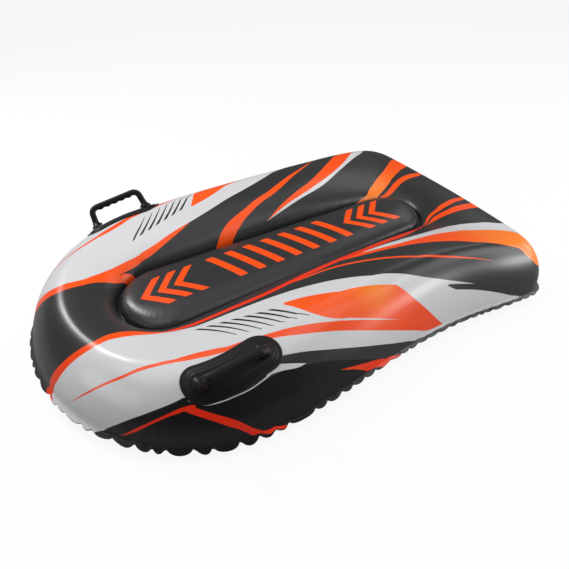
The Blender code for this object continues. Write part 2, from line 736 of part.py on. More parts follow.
def make_valve(looks, group, cutters):
    seat = turned_mm("valve_seat", SEAT_PROFILE, looks["seat"], group)
    seal = turned_mm("valve_seal", SEAL_PROFILE, looks["rubber"], group)
    body = turned_mm("valve_body", BODY_PROFILE, looks["valve_plastic"], group)
    ledge = block_mm("ledge", LEDGE_SIZE, LEDGE_PLACE, group)
    join_tools(body, [(ledge, "UNION")] + valve_cutters(cutters))
    flap = turned_mm("check_flap", FLAP_PROFILE, looks["silicone"], group, steps=24)
    cap = make_stopper_cap(looks["valve_plastic"], group)
    place = valve_matrix()
    for item in (seat, seal, body, flap, cap):
        smooth(item, 35)
        item.matrix_world = place
    hinge = at_mm(CAP_HINGE_PLACE)
    cap.data.transform(hinge.inverted())
    cap.matrix_world = place @ hinge


def main():
    clear_scene()
    group = collection("snow_sled")
    cutters = collection("cutters")
    printed = material("printed_vinyl", (0.62, 0.63, 0.64), 0.38)
    black_vinyl = material("black_vinyl", (0.035, 0.035, 0.038), 0.45)
    web_vinyl = material("web_vinyl", (0.42, 0.43, 0.45), 0.55)
    handle_black = material("handle_black", (0.022, 0.022, 0.022), 0.42)
    looks = {
        "seat": material("valve_seat_vinyl", (0.60, 0.61, 0.62), 0.30),
        "rubber": material("seal_rubber", (0.03, 0.03, 0.03), 0.7),
        "valve_plastic": material("valve_plastic", (0.05, 0.05, 0.05), 0.40),
        "silicone": material("flap_silicone", (0.75, 0.75, 0.73), 0.45),
    }
    make_top_sheet(printed, group, cutters)
    make_pad_sheet(printed, group)
    make_base_sheet(black_vinyl, group)
    make_tension_web(web_vinyl, group, cutters)
    for side in (1, -1):
        make_grip_pad(side, handle_black, group)
        make_grip(side, handle_black, group)
    make_valve(looks, group, cutters)


if __name__ == "__main__":
    main()
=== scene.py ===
import math
import bpy
import bmesh
import numpy as np
from mathutils import Matrix


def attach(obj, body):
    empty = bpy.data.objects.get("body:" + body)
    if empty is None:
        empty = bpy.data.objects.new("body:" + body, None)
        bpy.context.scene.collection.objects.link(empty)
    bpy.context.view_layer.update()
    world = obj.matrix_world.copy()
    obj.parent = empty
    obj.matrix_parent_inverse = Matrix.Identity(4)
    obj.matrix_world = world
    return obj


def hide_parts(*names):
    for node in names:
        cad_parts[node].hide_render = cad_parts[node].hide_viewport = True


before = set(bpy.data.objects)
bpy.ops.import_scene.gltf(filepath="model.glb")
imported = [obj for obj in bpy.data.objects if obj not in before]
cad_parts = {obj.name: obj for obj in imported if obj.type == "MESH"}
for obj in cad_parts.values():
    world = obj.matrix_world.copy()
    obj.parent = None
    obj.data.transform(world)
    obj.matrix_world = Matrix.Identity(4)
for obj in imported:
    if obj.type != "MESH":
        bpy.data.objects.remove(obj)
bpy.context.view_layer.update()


# Small helpers

tiny = 1e-12


def ease(share):
    # half a cosine wave from 0 to 1
    return 0.5 - 0.5 * np.cos(np.pi * np.clip(share, 0.0, 1.0))


def powered(angle, fullness):
    # sine and cosine raised to 2 / fullness: a quarter of a superellipse
    power = 2.0 / fullness
    return np.maximum(np.sin(angle), 0.0) ** power, np.maximum(np.cos(angle), 0.0) ** power


def unit(vectors):
    return vectors / np.maximum(np.linalg.norm(vectors, axis=-1, keepdims=True), tiny)


def runLength(points):
    # length from the first point of a chain to each of its points
    return np.concatenate([[0.0], np.cumsum(np.linalg.norm(np.diff(points, axis=0), axis=1))])


def waves(turn, rows, start=0.0):
    # start plus a sum of sines, each with its size, its turns round the sled and its phase
    total = start
    for size, turns, phase in rows:
        total = total + size * np.sin(turns * turn + phase)
    return total


def screen(red, green, blue):
    # screen colour 0 to 255 turned into the linear colour that sockets take
    values = np.array([red, green, blue]) / 255.0
    linear = np.where(values <= 0.04045, values / 12.92, ((values + 0.055) / 1.055) ** 2.4)
    return (*[float(value) for value in linear], 1.0)


# Hull shape. s runs once round the outline: 0 at the middle of the nose, 0 to 4 down the +X side
# to the middle of the tail, 4 to 8 back up the other side. t runs inwards from the outer edge:
# 0 to 1 flange, 1 to 2 wall, 2 to 3 inner slope, 3 to 4 weld at the groove, 4 to 5 lying pad.

hullShape = {
    "length": 1.200, "noseLength": 0.360, "shoulder": 0.410, "waist": 0.358, "tail": 0.374,
    "waistY": 0.290, "cornerRadius": 0.058, "tailBow": 0.010, "flangeWidth": 0.014,
    "padFrontY": -0.394, "padRearY": 0.433, "padFront": 0.1130, "padRear": 0.0920,
    "padFrontRound": 0.100, "padRearRound": 0.080, "padCornerShare": 0.6, "landWidth": 0.006,
    "spineMargin": 0.060,
    "seamZ": 0.030, "crestKnots": ((0.0, 0.144), (0.25, 0.156), (0.60, 0.188), (1.0, 0.153)),
    "landFront": 0.085, "landRear": 0.116, "padRise": 0.034, "crestNose": 0.505, "crestTail": 0.310,
    "outerFullness": 1.75, "innerFullness": 2.10, "padFullness": 2.5, "tailBulge": 0.010,
    "tailChangeU": 1.7, "bilgeWidth": 0.080, "sheetGauge": 0.0008, "baseGauge": 0.0012, "gap": 0.0003,
}
crestFit = np.polyfit(*np.array(hullShape["crestKnots"]).T, 3)
gridEnds = {"before": (1e-3, 4.995), "after": (2e-3, 4.999)}  # t a little short of the sheet's two ends


def toHalf(s):
    # u, the station on either half: 0 at the nose and 4 at the tail
    return np.where(s <= 4, s, 8 - s)


def halfOutline(u):
    # half of the outer edge: ellipse round the nose, eased side, round corner, bowed tail
    h = hullShape
    cornerY = h["length"] / 2 - h["tailBow"] - h["cornerRadius"]
    start = -h["length"] / 2 + h["noseLength"]
    turn = np.clip(u, 0, 1) * np.pi / 2
    noseX, noseY = h["shoulder"] * np.sin(turn), start - h["noseLength"] * np.cos(turn)
    sideY = start + np.clip(u - 1, 0, 1) * (cornerY - start)
    sideX = (h["shoulder"] - (h["shoulder"] - h["waist"]) * ease((sideY - start) / (h["waistY"] - start))
             + (h["tail"] - h["waist"]) * ease((sideY - h["waistY"]) / (cornerY - h["waistY"])))
    turn = np.clip(u - 2, 0, 1) * np.pi / 2
    innerX = h["tail"] - h["cornerRadius"]
    cornerX, roundY = innerX + h["cornerRadius"] * np.cos(turn), cornerY + h["cornerRadius"] * np.sin(turn)
    left = 1 - np.clip(u - 3, 0, 1)
    tailX, tailY = innerX * left, h["length"] / 2 - h["tailBow"] * left ** 2
    steps = [u <= 1, u <= 2, u <= 3]
    return np.select(steps, [noseX, sideX, cornerX], tailX), np.select(steps, [noseY, sideY, roundY], tailY)


def padLine(u):
    # half of the groove's weld line, station by station with the outer edge
    h = hullShape
    turn = np.clip(u, 0, 1) * np.pi / 2
    frontX, frontY = h["padFront"] * np.sin(turn), h["padFrontY"] + h["padFrontRound"] * (1 - np.cos(turn))
    share = np.clip(u - 1, 0, 1)
    start, end = h["padFrontY"] + h["padFrontRound"], h["padRearY"] - h["padRearRound"]
    sideX, sideY = h["padFront"] + (h["padRear"] - h["padFront"]) * share, start + (end - start) * share
    corner = h["padCornerShare"]
    turn = (corner * np.clip(u - 2, 0, 1) + (1 - corner) * np.clip(u - 3, 0, 1)) * np.pi / 2
    rearX, rearY = h["padRear"] * np.cos(turn), end + h["padRearRound"] * np.sin(turn)
    steps = [u <= 1, u <= 2]
    return np.select(steps, [frontX, sideX], rearX), np.select(steps, [frontY, sideY], rearY)


def stations(s):
    # edge and weld points at s, the run between them, and how far along the sled the edge point is
    s = np.mod(s, 8.0)
    side = np.where(s <= 4, 1.0, -1.0)
    u = toHalf(s)
    edgeX, edgeY = halfOutline(u)
    weldX, weldY = padLine(u)
    runX, runY = weldX - edgeX, weldY - edgeY
    reach = np.hypot(runX, runY)
    along = (edgeY + hullShape["length"] / 2) / hullShape["length"]
    return u, side, edgeX, edgeY, weldY, runX / reach, runY / reach, reach, along


def hullPoint(s, t):
    # flange flat, then two superellipse quarters up to the crest and down to the weld, then the
    # crowned pad
    h = hullShape
    s, t = np.broadcast_arrays(np.asarray(s, float), np.asarray(t, float))
    u, side, edgeX, edgeY, weldY, inX, inY, reach, along = stations(s)
    crest = np.polyval(crestFit, along)
    land = h["landFront"] + (h["landRear"] - h["landFront"]) * along
    flangeZ = h["seamZ"] + h["gap"] / 2 + h["sheetGauge"]
    crestIn = (h["crestNose"] + (h["crestTail"] - h["crestNose"]) * along) * reach
    landIn = reach - h["landWidth"] / 2
    wall = np.clip(t - 1, 0, 1) * np.pi / 2
    rise, fall = powered(wall, h["outerFullness"])
    bulge = h["tailBulge"] * ease(u - h["tailChangeU"]) * np.sin(2 * wall)
    runDown, drop = powered(np.clip(t - 2, 0, 1) * np.pi / 2, h["innerFullness"])
    swell, shrink = powered(np.clip(t - 4, 0, 1) * np.pi / 2, h["padFullness"])
    steps = [t <= 1, t <= 2, t <= 3]
    inward = np.select(steps, [
        h["flangeWidth"] * t,
        h["flangeWidth"] + (crestIn - h["flangeWidth"]) * (1 - fall) - bulge,
        crestIn + (landIn - crestIn) * runDown], landIn + h["landWidth"] * np.clip(t - 3, 0, 1))
    z = np.select(steps, [np.full_like(t, flangeZ), flangeZ + (crest - flangeZ) * rise,
                          land + (crest - land) * drop], land + h["padRise"] * swell)
    x, y = edgeX + inX * inward, edgeY + inY * inward
    spineY = h["padFrontY"] + h["spineMargin"] + (h["padRearY"] - h["padFrontY"] - 2 * h["spineMargin"]) * (
        (weldY - h["padFrontY"]) / (h["padRearY"] - h["padFrontY"]))
    x = np.where(t > 4, x * shrink, x)
    y = np.where(t > 4, spineY + (y - spineY) * shrink, y)
    return np.stack([x * side, y, z], axis=-1)


def hullNormal(s, t, step=2e-3):
    # outward direction: the change along s crossed with the change along t
    bySide = hullPoint(s + step, t) - hullPoint(s - step, t)
    low, high = np.clip(t - step, *gridEnds["before"]), np.clip(t + step, *gridEnds["after"])
    return unit(np.cross(bySide, hullPoint(s, high) - hullPoint(s, low)))


edgeDense = np.linspace(0, 8, 16001)
edgeRun = runLength(hullPoint(edgeDense, 0.0))
edgeLength = float(edgeRun[-1])
print(f"hull shape ready, edge {edgeLength:.3f} m round")


def evenStations(count, t=0.0):
    # stations spaced evenly by length along the line of constant t
    run = runLength(hullPoint(edgeDense, t))
    return np.interp(np.arange(count) / count * run[-1], run, edgeDense)


# Scallops and puckers. The wave is a sine of a phase that runs faster where the lobes are short, its
# phase pushed about by slower sines so that no two lobes are alike.

ruffle = {
    "pitchKnots": ((0, 0.040), (1, 0.043), (1.3, 0.036), (1.7, 0.030), (2, 0.027), (3, 0.027), (4, 0.029)),
    "sizeKnots": ((0, 0.58), (0.18, 0.52), (0.34, 0.62), (0.5, 0.92), (0.9, 1.0), (1.1, 0.80), (1.25, 0.48),
                  (1.4, 0.32), (1.8, 0.24), (2.6, 0.30), (4, 0.30)),
    "sagKnots": ((0, 0.0040), (0.9, 0.0035), (1.25, 0.0012), (2.6, 0.0010), (4, 0.0015)),
    "tuckKnots": ((0, 0.0020), (0.5, 0.0030), (1.1, 0.0035), (1.4, 0.0052), (1.9, 0.0052), (2.6, 0.0030),
                  (4, 0.0010)),
    "pull": 0.0105, "lift": 0.0030, "droop": 0.0085, "droopShare": 0.15, "droopPower": 1.25,
    "roundness": 0.62, "lean": 0.0010, "leanTurns": 23,
    "phaseWaves": ((0.17, 17, 1.3), (0.13, 29, 0.4), (0.08, 43, 2.2)),
    "meanStrength": 0.92, "strengthWaves": ((0.13, 9, 0.6), (0.12, 31, 2.9)),
    "filletOut": 0.25, "filletUp": 1.110, "basePeek": -0.0006, "baseDroop": 0.0006,
}
pucker = {
    "depth": 0.0020, "reach": 0.026, "level": 0.55, "start": 0.08, "seamRise": 0.001,
    "grooveDepth": 0.0004, "grooveReach": 0.030, "grooveEase": 0.012, "folds": 62,
    "foldWaves": ((1.6, 11, 0.0), (0.9, 5, 1.0)), "padEnd": 4.999, "padFade": 0.4,
    "tailCalm": 0.9, "calmFrom": 2.2, "calmOver": 0.8,
}


def knotted(key, u):
    # one of the ruffle's knotted values at u
    knots = np.array(ruffle[key]).T
    return np.interp(u, knots[0], knots[1])


def lobePhase():
    # phase along the edge: the sum of length over pitch, scaled to a whole number of lobes
    pitch = knotted("pitchKnots", toHalf(edgeDense))
    step = np.diff(edgeRun) / (0.5 * (pitch[1:] + pitch[:-1]))
    phase = np.concatenate([[0.0], np.cumsum(step)])
    return phase * round(float(phase[-1])) / phase[-1]


edgePhase = lobePhase()


def lobes(s):
    # 0 at a notch and 1 on a lobe's tip, with the lobe's own strength
    s = np.mod(s, 8.0)
    turn = 2 * np.pi * np.interp(s, edgeDense, edgeRun) / edgeLength
    phase = np.interp(s, edgeDense, edgePhase) + waves(turn, ruffle["phaseWaves"])
    tip = np.abs(np.sin(np.pi * phase)) ** ruffle["roundness"]
    own = waves(turn, ruffle["strengthWaves"], ruffle["meanStrength"])
    return tip, knotted("sizeKnots", toHalf(s)) * own, phase, turn


def ruffled(points, s, t, droop=0.0, peek=0.0):
    # pulls the edge in and up at each notch and lets each lobe hang, all fading to nothing at the weld
    u, side, _, _, _, inX, inY, _, _ = stations(s)
    tip, strength, phase, turn = lobes(s)
    free = np.clip(1 - t, 0, 1)
    pull = (ruffle["pull"] * strength * (1 - tip) + knotted("tuckKnots", u)) * free - peek * free
    lean = ruffle["lean"] * np.sin(np.pi * phase + ruffle["leanTurns"] * turn) * free
    share = ruffle["droopShare"]
    hang = ruffle["droop"] * (share + (1 - share) * strength) * tip + knotted("sagKnots", u) + droop
    moved = points.copy()
    moved[..., 0] += (inX * pull - inY * lean) * side
    moved[..., 1] += inY * pull + inX * lean
    moved[..., 2] += ruffle["lift"] * strength * (1 - tip) * free - hang * free ** ruffle["droopPower"]
    return moved


def filleted(points, s, t):
    # rounds the inner corner between flange and wall with a quadratic curve in each column
    low, high = ruffle["filletOut"], ruffle["filletUp"]
    ends = []
    for value in (low, 1.0, high):
        level = np.full_like(s, value)
        ends.append(ruffled(hullPoint(s, level), s, level))
    run = np.where(t < 1, (t - low) / (1 - low), 1 + (t - 1) / (high - 1)) / 2
    f = np.clip(run, 0, 1)[..., None]
    curve = ends[0] * (1 - f) ** 2 + 2 * f * (1 - f) * ends[1] + ends[2] * f ** 2
    return np.where(((t > low) & (t < high))[..., None], curve, points)


def puckered(points, s, t):
    # swells over the lobes and dents over the notches, fading up the wall, and faint tucks at the
    # groove's weld that calm down towards the tail
    p = pucker
    tip, strength, _, turn = lobes(s)
    height = points[..., 2] - (hullShape["seamZ"] + p["seamRise"])
    onWall = ease((t - 1.0) / p["start"]) * (t < 2)
    dent = p["depth"] * strength * (p["level"] - tip) * onWall * np.exp(-np.abs(height) / p["reach"])
    weld = np.where((t < 3)[..., None], hullPoint(s, 3.0), hullPoint(s, 4.0))
    away = np.linalg.norm(points - weld, axis=-1)
    fold = 0.5 + 0.5 * np.sin(waves(turn, p["foldWaves"], p["folds"] * turn))
    tuck = p["grooveDepth"] * fold ** 2 * np.exp(-away / p["grooveReach"]) * ease(away / p["grooveEase"])
    tuck = np.where((t > 2) & (t < p["padEnd"]), tuck, 0.0) * ease((5.0 - t) / p["padFade"])
    tuck = tuck * (1 - p["tailCalm"] * ease((toHalf(s) - p["calmFrom"]) / p["calmOver"]))
    return points - hullNormal(s, t) * (dent + tuck)[..., None]


valveSpot = {"wallAngle": 30.0, "flatRadius": 0.032, "fadeRadius": 0.058, "depth": 0.05, "probe": 0.02}


def flattened(points):
    # presses the tail wall flat round the valve's foot
    v = valveSpot
    t = 1 + v["wallAngle"] / 90
    upWall = unit(hullPoint(4.0, t + v["probe"]) - hullPoint(4.0, t - v["probe"]))
    axis = np.cross([-1.0, 0.0, 0.0], upWall)
    offset = points - hullPoint(4.0, t)
    height = offset @ axis
    radius = np.linalg.norm(offset - height[..., None] * axis, axis=-1)
    fade = 1 - ease((radius - v["flatRadius"]) / (v["fadeRadius"] - v["flatRadius"]))
    fade = np.where(np.abs(height) < v["depth"], fade, 0.0)
    return points - (height * fade)[..., None] * axis


def sheetPoint(s, t):
    # the top sheet with everything that the weld and the air do to it
    points = ruffled(hullPoint(s, t), s, t)
    points = filleted(points, s, t)
    return flattened(puckered(points, s, t))


# Meshes from grids

def grid(s, t):
    # every station along s with every row along t
    return np.broadcast_arrays(s[None, :], t[:, None])


def gridFaces(rows, columns, closeRows=False, openAfter=None):
    # quads between neighbouring rows and columns; the columns always close on themselves, and no quads
    # follow row openAfter, where both layers have shrunk to the same line and close by themselves
    r = np.arange(rows if closeRows else rows - 1)
    if openAfter is not None:
        r = r[r != openAfter]
    c = np.arange(columns)
    first, second = (r % rows)[:, None] * columns, ((r + 1) % rows)[:, None] * columns
    nextC = (c + 1) % columns
    return np.stack([first + c, first + nextC, second + nextC, second + c], axis=-1).reshape(-1, 4)


def makePiece(name, points, faces, finish, attributes=None, join=0.0, smoothAngle=None):
    mesh = bpy.data.meshes.new(name)
    mesh.from_pydata(points.reshape(-1, 3), [], faces)
    for key, values in (attributes or {}).items():
        layer = mesh.attributes.new(key, "FLOAT", "POINT")
        layer.data.foreach_set("value", np.asarray(values, np.float32).ravel())
    if join > 0:
        work = bmesh.new()
        work.from_mesh(mesh)
        bmesh.ops.remove_doubles(work, verts=work.verts, dist=join)
        bmesh.ops.dissolve_degenerate(work, edges=work.edges, dist=join * 0.5)
        bmesh.ops.recalc_face_normals(work, faces=work.faces)
        work.to_mesh(mesh)
        work.free()
    mesh.validate()
    mesh.shade_smooth()
    if smoothAngle:
        mesh.set_sharp_from_angle(angle=math.radians(smoothAngle))
    mesh.materials.append(finish)
    piece = bpy.data.objects.new(name, mesh)
    bpy.context.scene.collection.objects.link(piece)
    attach(piece, "sled")
    print(f"{name}: {len(mesh.polygons)} faces")
    return piece


# Livery. Each coloured shape is a closed line of (s, t) places. A vertex keeps its signed distance
# to the shape's edge, more than 0 inside, and the material turns the sign into a crisp edge.

placeScale = np.array([0.55, 0.16])  # metres that one unit of s and of t cover, roughly
lineSteps = {"length": 0.004, "least": 3, "straight": 24, "shortest": 1e-6}
farAway = 0.02     # signed distances stop growing here
lineReach = 0.016  # a vertex further than this from a slim line takes nothing from it
toneDepth = 0.012  # how far outside a slim line its tone still counts


def smoothLine(knots):
    # cubic curve through the knots, with slopes weighed by the lengths beside each knot
    knots = np.asarray(knots, float)
    if len(knots) == 2:
        return knots[0] + (knots[1] - knots[0]) * np.linspace(0, 1, lineSteps["straight"])[:, None]
    length = np.linalg.norm(np.diff(knots * placeScale, axis=0), axis=1)
    length = np.maximum(length, lineSteps["shortest"])
    rate = np.diff(knots, axis=0) / length[:, None]
    before, after = length[:-1, None], length[1:, None]
    inner = (rate[1:] * before + rate[:-1] * after) / (before + after)
    slope = np.concatenate([rate[:1], inner, rate[-1:]])
    counts = np.maximum((length / lineSteps["length"]).astype(int), lineSteps["least"])
    part = np.repeat(np.arange(len(length)), counts)
    f = (np.arange(len(part)) - np.repeat(np.cumsum(counts) - counts, counts)) / counts[part]
    f = f[:, None]
    span = length[part][:, None]
    line = ((2 * f ** 3 - 3 * f ** 2 + 1) * knots[part] + (f ** 3 - 2 * f ** 2 + f) * span * slope[part]
            + (3 * f ** 2 - 2 * f ** 3) * knots[part + 1] + (f ** 3 - f ** 2) * span * slope[part + 1])
    return np.concatenate([line, knots[-1:]])


def nearest(points, line, width=None, across=None, batch=4000):
    # distance from each point to a chain of points, the chain's width there, and the offset to one
    # side of it; past an end the width shrinks as fast as the distance grows
    start, run = line[:-1], np.diff(line, axis=0)
    size = np.maximum((run ** 2).sum(-1), tiny)
    best, wide, offset = np.zeros((3, len(points)))
    for first in range(0, len(points), batch):
        now = slice(first, first + batch)
        some = points[now]
        share = np.clip(((some[:, None] - start) * run).sum(-1) / size, 0, 1)
        gap = np.linalg.norm(some[:, None] - start - share[..., None] * run, axis=-1)
        k = gap.argmin(axis=1)
        rows = np.arange(len(some))
        best[now] = gap[rows, k]
        if width is not None:
            f = share[rows, k]
            rest = some - start[k] - f[:, None] * run[k]
            ahead = np.abs((rest * unit(run[k])).sum(-1))
            past = np.where(((k == 0) & (f <= 0)) | ((k == len(run) - 1) & (f >= 1)), ahead, 0)
            wide[now] = width[k] + (width[k + 1] - width[k]) * f - 2 * past
            offset[now] = (rest * across[k]).sum(-1)
    return best, wide, offset


def inside(places, ring, batch=8000):
    # counts how often a ray along the first coordinate crosses the closed ring
    a, b = ring, np.roll(ring, -1, axis=0)
    rise = b[:, 1] - a[:, 1]
    rise = np.where(np.abs(rise) < tiny, tiny, rise)
    hit = np.zeros(len(places), int)
    for first in range(0, len(places), batch):
        now = slice(first, first + batch)
        x, y = places[now, 0:1], places[now, 1:2]
        spans = (a[:, 1] > y) != (b[:, 1] > y)
        hit[now] = (spans & (x < a[:, 0] + (y - a[:, 1]) / rise * (b[:, 0] - a[:, 0]))).sum(1)
    return hit % 2 == 1


class Livery:
    # signed distances and tones for one piece; lift turns places into points. Broad shapes keep one
    # distance. A slim line keeps the offset from its middle and its half width, so that it stays
    # whole where it is slimmer than the grid.
    lines = ("lineA", "lineB", "paleLine")

    def __init__(self, places, points, lift, across=None):
        self.places, self.points = places.reshape(-1, 2), points.reshape(-1, 3)
        self.lift, self.across = lift, across
        size = len(self.points)
        self.fields = {key: np.full(size, -farAway) for key in ("black", "silver", "orange")}
        self.offsets = {key: np.full(size, farAway) for key in self.lines}
        self.halves = {key: np.full(size, -farAway) for key in self.lines}
        self.near = {key: np.full(size, np.inf) for key in self.lines}
        self.tone = np.full(size, 0.5)
        self.toneValue = np.full(size, -1.0)

    def shade(self, chosen, value, tone):
        # gives each vertex the tone of the orange shape that it lies deepest in
        better = value > self.toneValue[chosen]
        index = np.flatnonzero(chosen)[better]
        self.toneValue[index] = value[better]
        if len(index):
            low, high, start, end = tone if len(tone) == 4 else (tone[0], tone[0], (0, 0), (1, 1))
            a, b = self.lift(np.array([start, end]))
            share = ((self.points[index] - a) @ (b - a)) / max(float((b - a) @ (b - a)), tiny)
            self.tone[index] = low + (high - low) * ease(share)

    def chosen(self, line):
        low, high = line.min(0) - farAway, line.max(0) + farAway
        return ((self.points > low) & (self.points < high)).all(-1)

    def region(self, key, sides, tone=None):
        ring = np.concatenate([smoothLine(side)[:-1] for side in sides])
        line = self.lift(np.concatenate([ring, ring[:1]]))
        chosen = self.chosen(line)
        within = inside(self.places[chosen], ring)
        away, _, _ = nearest(self.points[chosen], line)
        value = np.clip(np.where(within, away, -away), -farAway, farAway)
        self.fields[key][chosen] = np.maximum(self.fields[key][chosen], value)
        if tone:
            self.shade(chosen, value, tone)

    def line(self, key, places, widths, tone):
        # places along the middle, one width each
        path = self.lift(places)
        chosen = self.chosen(path)
        away, wide, offset = nearest(self.points[chosen], path, widths, self.across(places))
        better = (away < self.near[key][chosen]) & (away < lineReach)
        index = np.flatnonzero(chosen)[better]
        self.near[key][index] = away[better]
        self.offsets[key][index], self.halves[key][index] = offset[better], wide[better] / 2
        if tone:
            self.shade(chosen, np.clip(wide / 2 - away, -toneDepth, farAway), tone)

    def strip(self, key, knots, widths, tone=None):
        # a smooth line whose width changes from knot to knot
        places = smoothLine(knots)
        mark = [np.linalg.norm((places - knot) * placeScale, axis=1).argmin() for knot in np.asarray(knots)]
        self.line(key, places, np.interp(np.arange(len(places)), mark, widths), tone)

    def point(self, key, sideA, sideB, reach, tone=None, step=0.002):
        # the slim end of a shape: both sides start at its tip, and the line runs between them
        paths = []
        for side in (sideA, sideB):
            places = smoothLine(side)
            run = runLength(self.lift(places))
            at = np.arange(0, reach, step)
            paths.append(np.stack([np.interp(at, run, places[:, k]) for k in (0, 1)], -1))
        middle = (paths[0] + paths[1]) / 2
        along = unit(np.gradient(self.lift(middle), axis=0))
        chord = self.lift(paths[0]) - self.lift(paths[1])
        chord = chord - along * (chord * along).sum(-1, keepdims=True)
        self.line(key, middle, np.linalg.norm(chord, axis=1), tone)

    def paintedHighlight(self, place, radius, change):
        # shifts the tone round one place, fading as a bell curve: a painted highlight, lighter and more amber
        away = np.linalg.norm(self.points - self.lift(np.array([place])), axis=-1)
        self.tone = np.clip(self.tone + change * np.exp(-(away / radius) ** 2), 0, 1)

    def attributes(self, spare):
        # all attributes, followed by as many spare vertices that show no print
        blank = np.full(spare, -farAway)
        made = {key: np.concatenate([field, blank]) for key, field in self.fields.items()}
        for key in self.lines:
            made[key + "Offset"] = np.concatenate([self.offsets[key], -blank])
            made[key + "Half"] = np.concatenate([self.halves[key], blank])
        made["tone"] = np.concatenate([self.tone, np.full(spare, 0.5)])
        return made


beyond = -1.0      # t outside the outer edge, so that a shape runs off the sheet
groove = 3.8       # t inside the weld, so that a shape runs into the groove

# the same on both sides, in (u, t)
frontLine = [(0.170, beyond), (0.166, 0.10), (0.147, 0.75), (0.163, 1.130), (0.188, 1.305), (0.213, 1.47),
             (0.250, 1.66), (0.295, 1.86), (0.335, 2.065), (0.388, 2.19), (0.458, 2.30), (0.560, 2.40),
             (0.715, 2.47)]
flashLine = [[(1.775, 1.380), (1.667, 1.485)], [(1.667, 1.485), (1.703, 1.385)],
             [(1.703, 1.385), (1.790, 1.290), (1.867, 1.180), (1.943, 1.035)],
             [(1.943, 1.035), (1.965, 0.80)]]
lowerLine = [[(1.965, 0.80), (1.560, 0.80)],
             [(1.560, 0.80), (1.545, 0.92), (1.505, 1.045), (1.423, 1.180), (1.318, 1.335), (1.228, 1.470),
              (1.147, 1.585), (1.095, 1.640)],
             [(1.095, 1.640), (0.730, 1.550)],
             [(0.730, 1.550), (0.698, 1.515), (0.600, 1.405), (0.487, 1.221), (0.432, 1.076), (0.397, 0.64),
              (0.381, 0.09), (0.375, beyond)]]
slimAbove = [(0.248, 1.11), (0.331, 1.371), (0.406, 1.559), (0.482, 1.702), (0.562, 1.839), (0.651, 1.940),
             (0.754, 2.010), (0.872, 2.035), (0.998, 2.000), (1.113, 1.904), (1.148, 1.872), (1.224, 1.772),
             (1.306, 1.640), (1.395, 1.488), (1.477, 1.355)]
slimBelow = [(0.248, 1.11), (0.332, 1.352), (0.408, 1.532), (0.484, 1.670), (0.563, 1.797), (0.649, 1.888),
             (0.748, 1.946), (0.856, 1.970), (0.980, 1.925), (1.103, 1.840), (1.180, 1.728), (1.262, 1.603),
             (1.350, 1.451), (1.453, 1.278)]
wedgeAbove = [(1.477, 1.355), (1.409, 1.478), (1.337, 1.612), (1.272, 1.750), (1.246, 1.885), (1.233, 2.045),
              (1.217, 2.169)]
bentAbove = [(0.474, 1.01), (0.530, 1.175), (0.598, 1.307), (0.663, 1.401), (0.716, 1.459), (0.746, 1.476)]
bentBelow = [(0.474, 1.01), (0.540, 1.160), (0.597, 1.276), (0.656, 1.364), (0.725, 1.427)]
flashAbove = [(1.238, 1.240), (1.310, 1.160), (1.387, 1.050), (1.440, 0.485), (1.455, 0.14), (1.465, beyond)]
flashBelow = [(1.238, 1.240), (1.308, 1.090), (1.360, 0.640), (1.380, 0.065), (1.390, beyond)]


def mirrored(sides):
    return [[(8 - s, t) for s, t in side] for side in sides]


def between(front, rear):
    # sides of a shape that starts at a tip and ends between the last places of its two sides
    return [front, [front[-1], rear[-1]], rear[::-1]]


def edges(corners):
    # straight sides of a closed ring of corners
    return [[start, end] for start, end in zip(corners, corners[1:])]


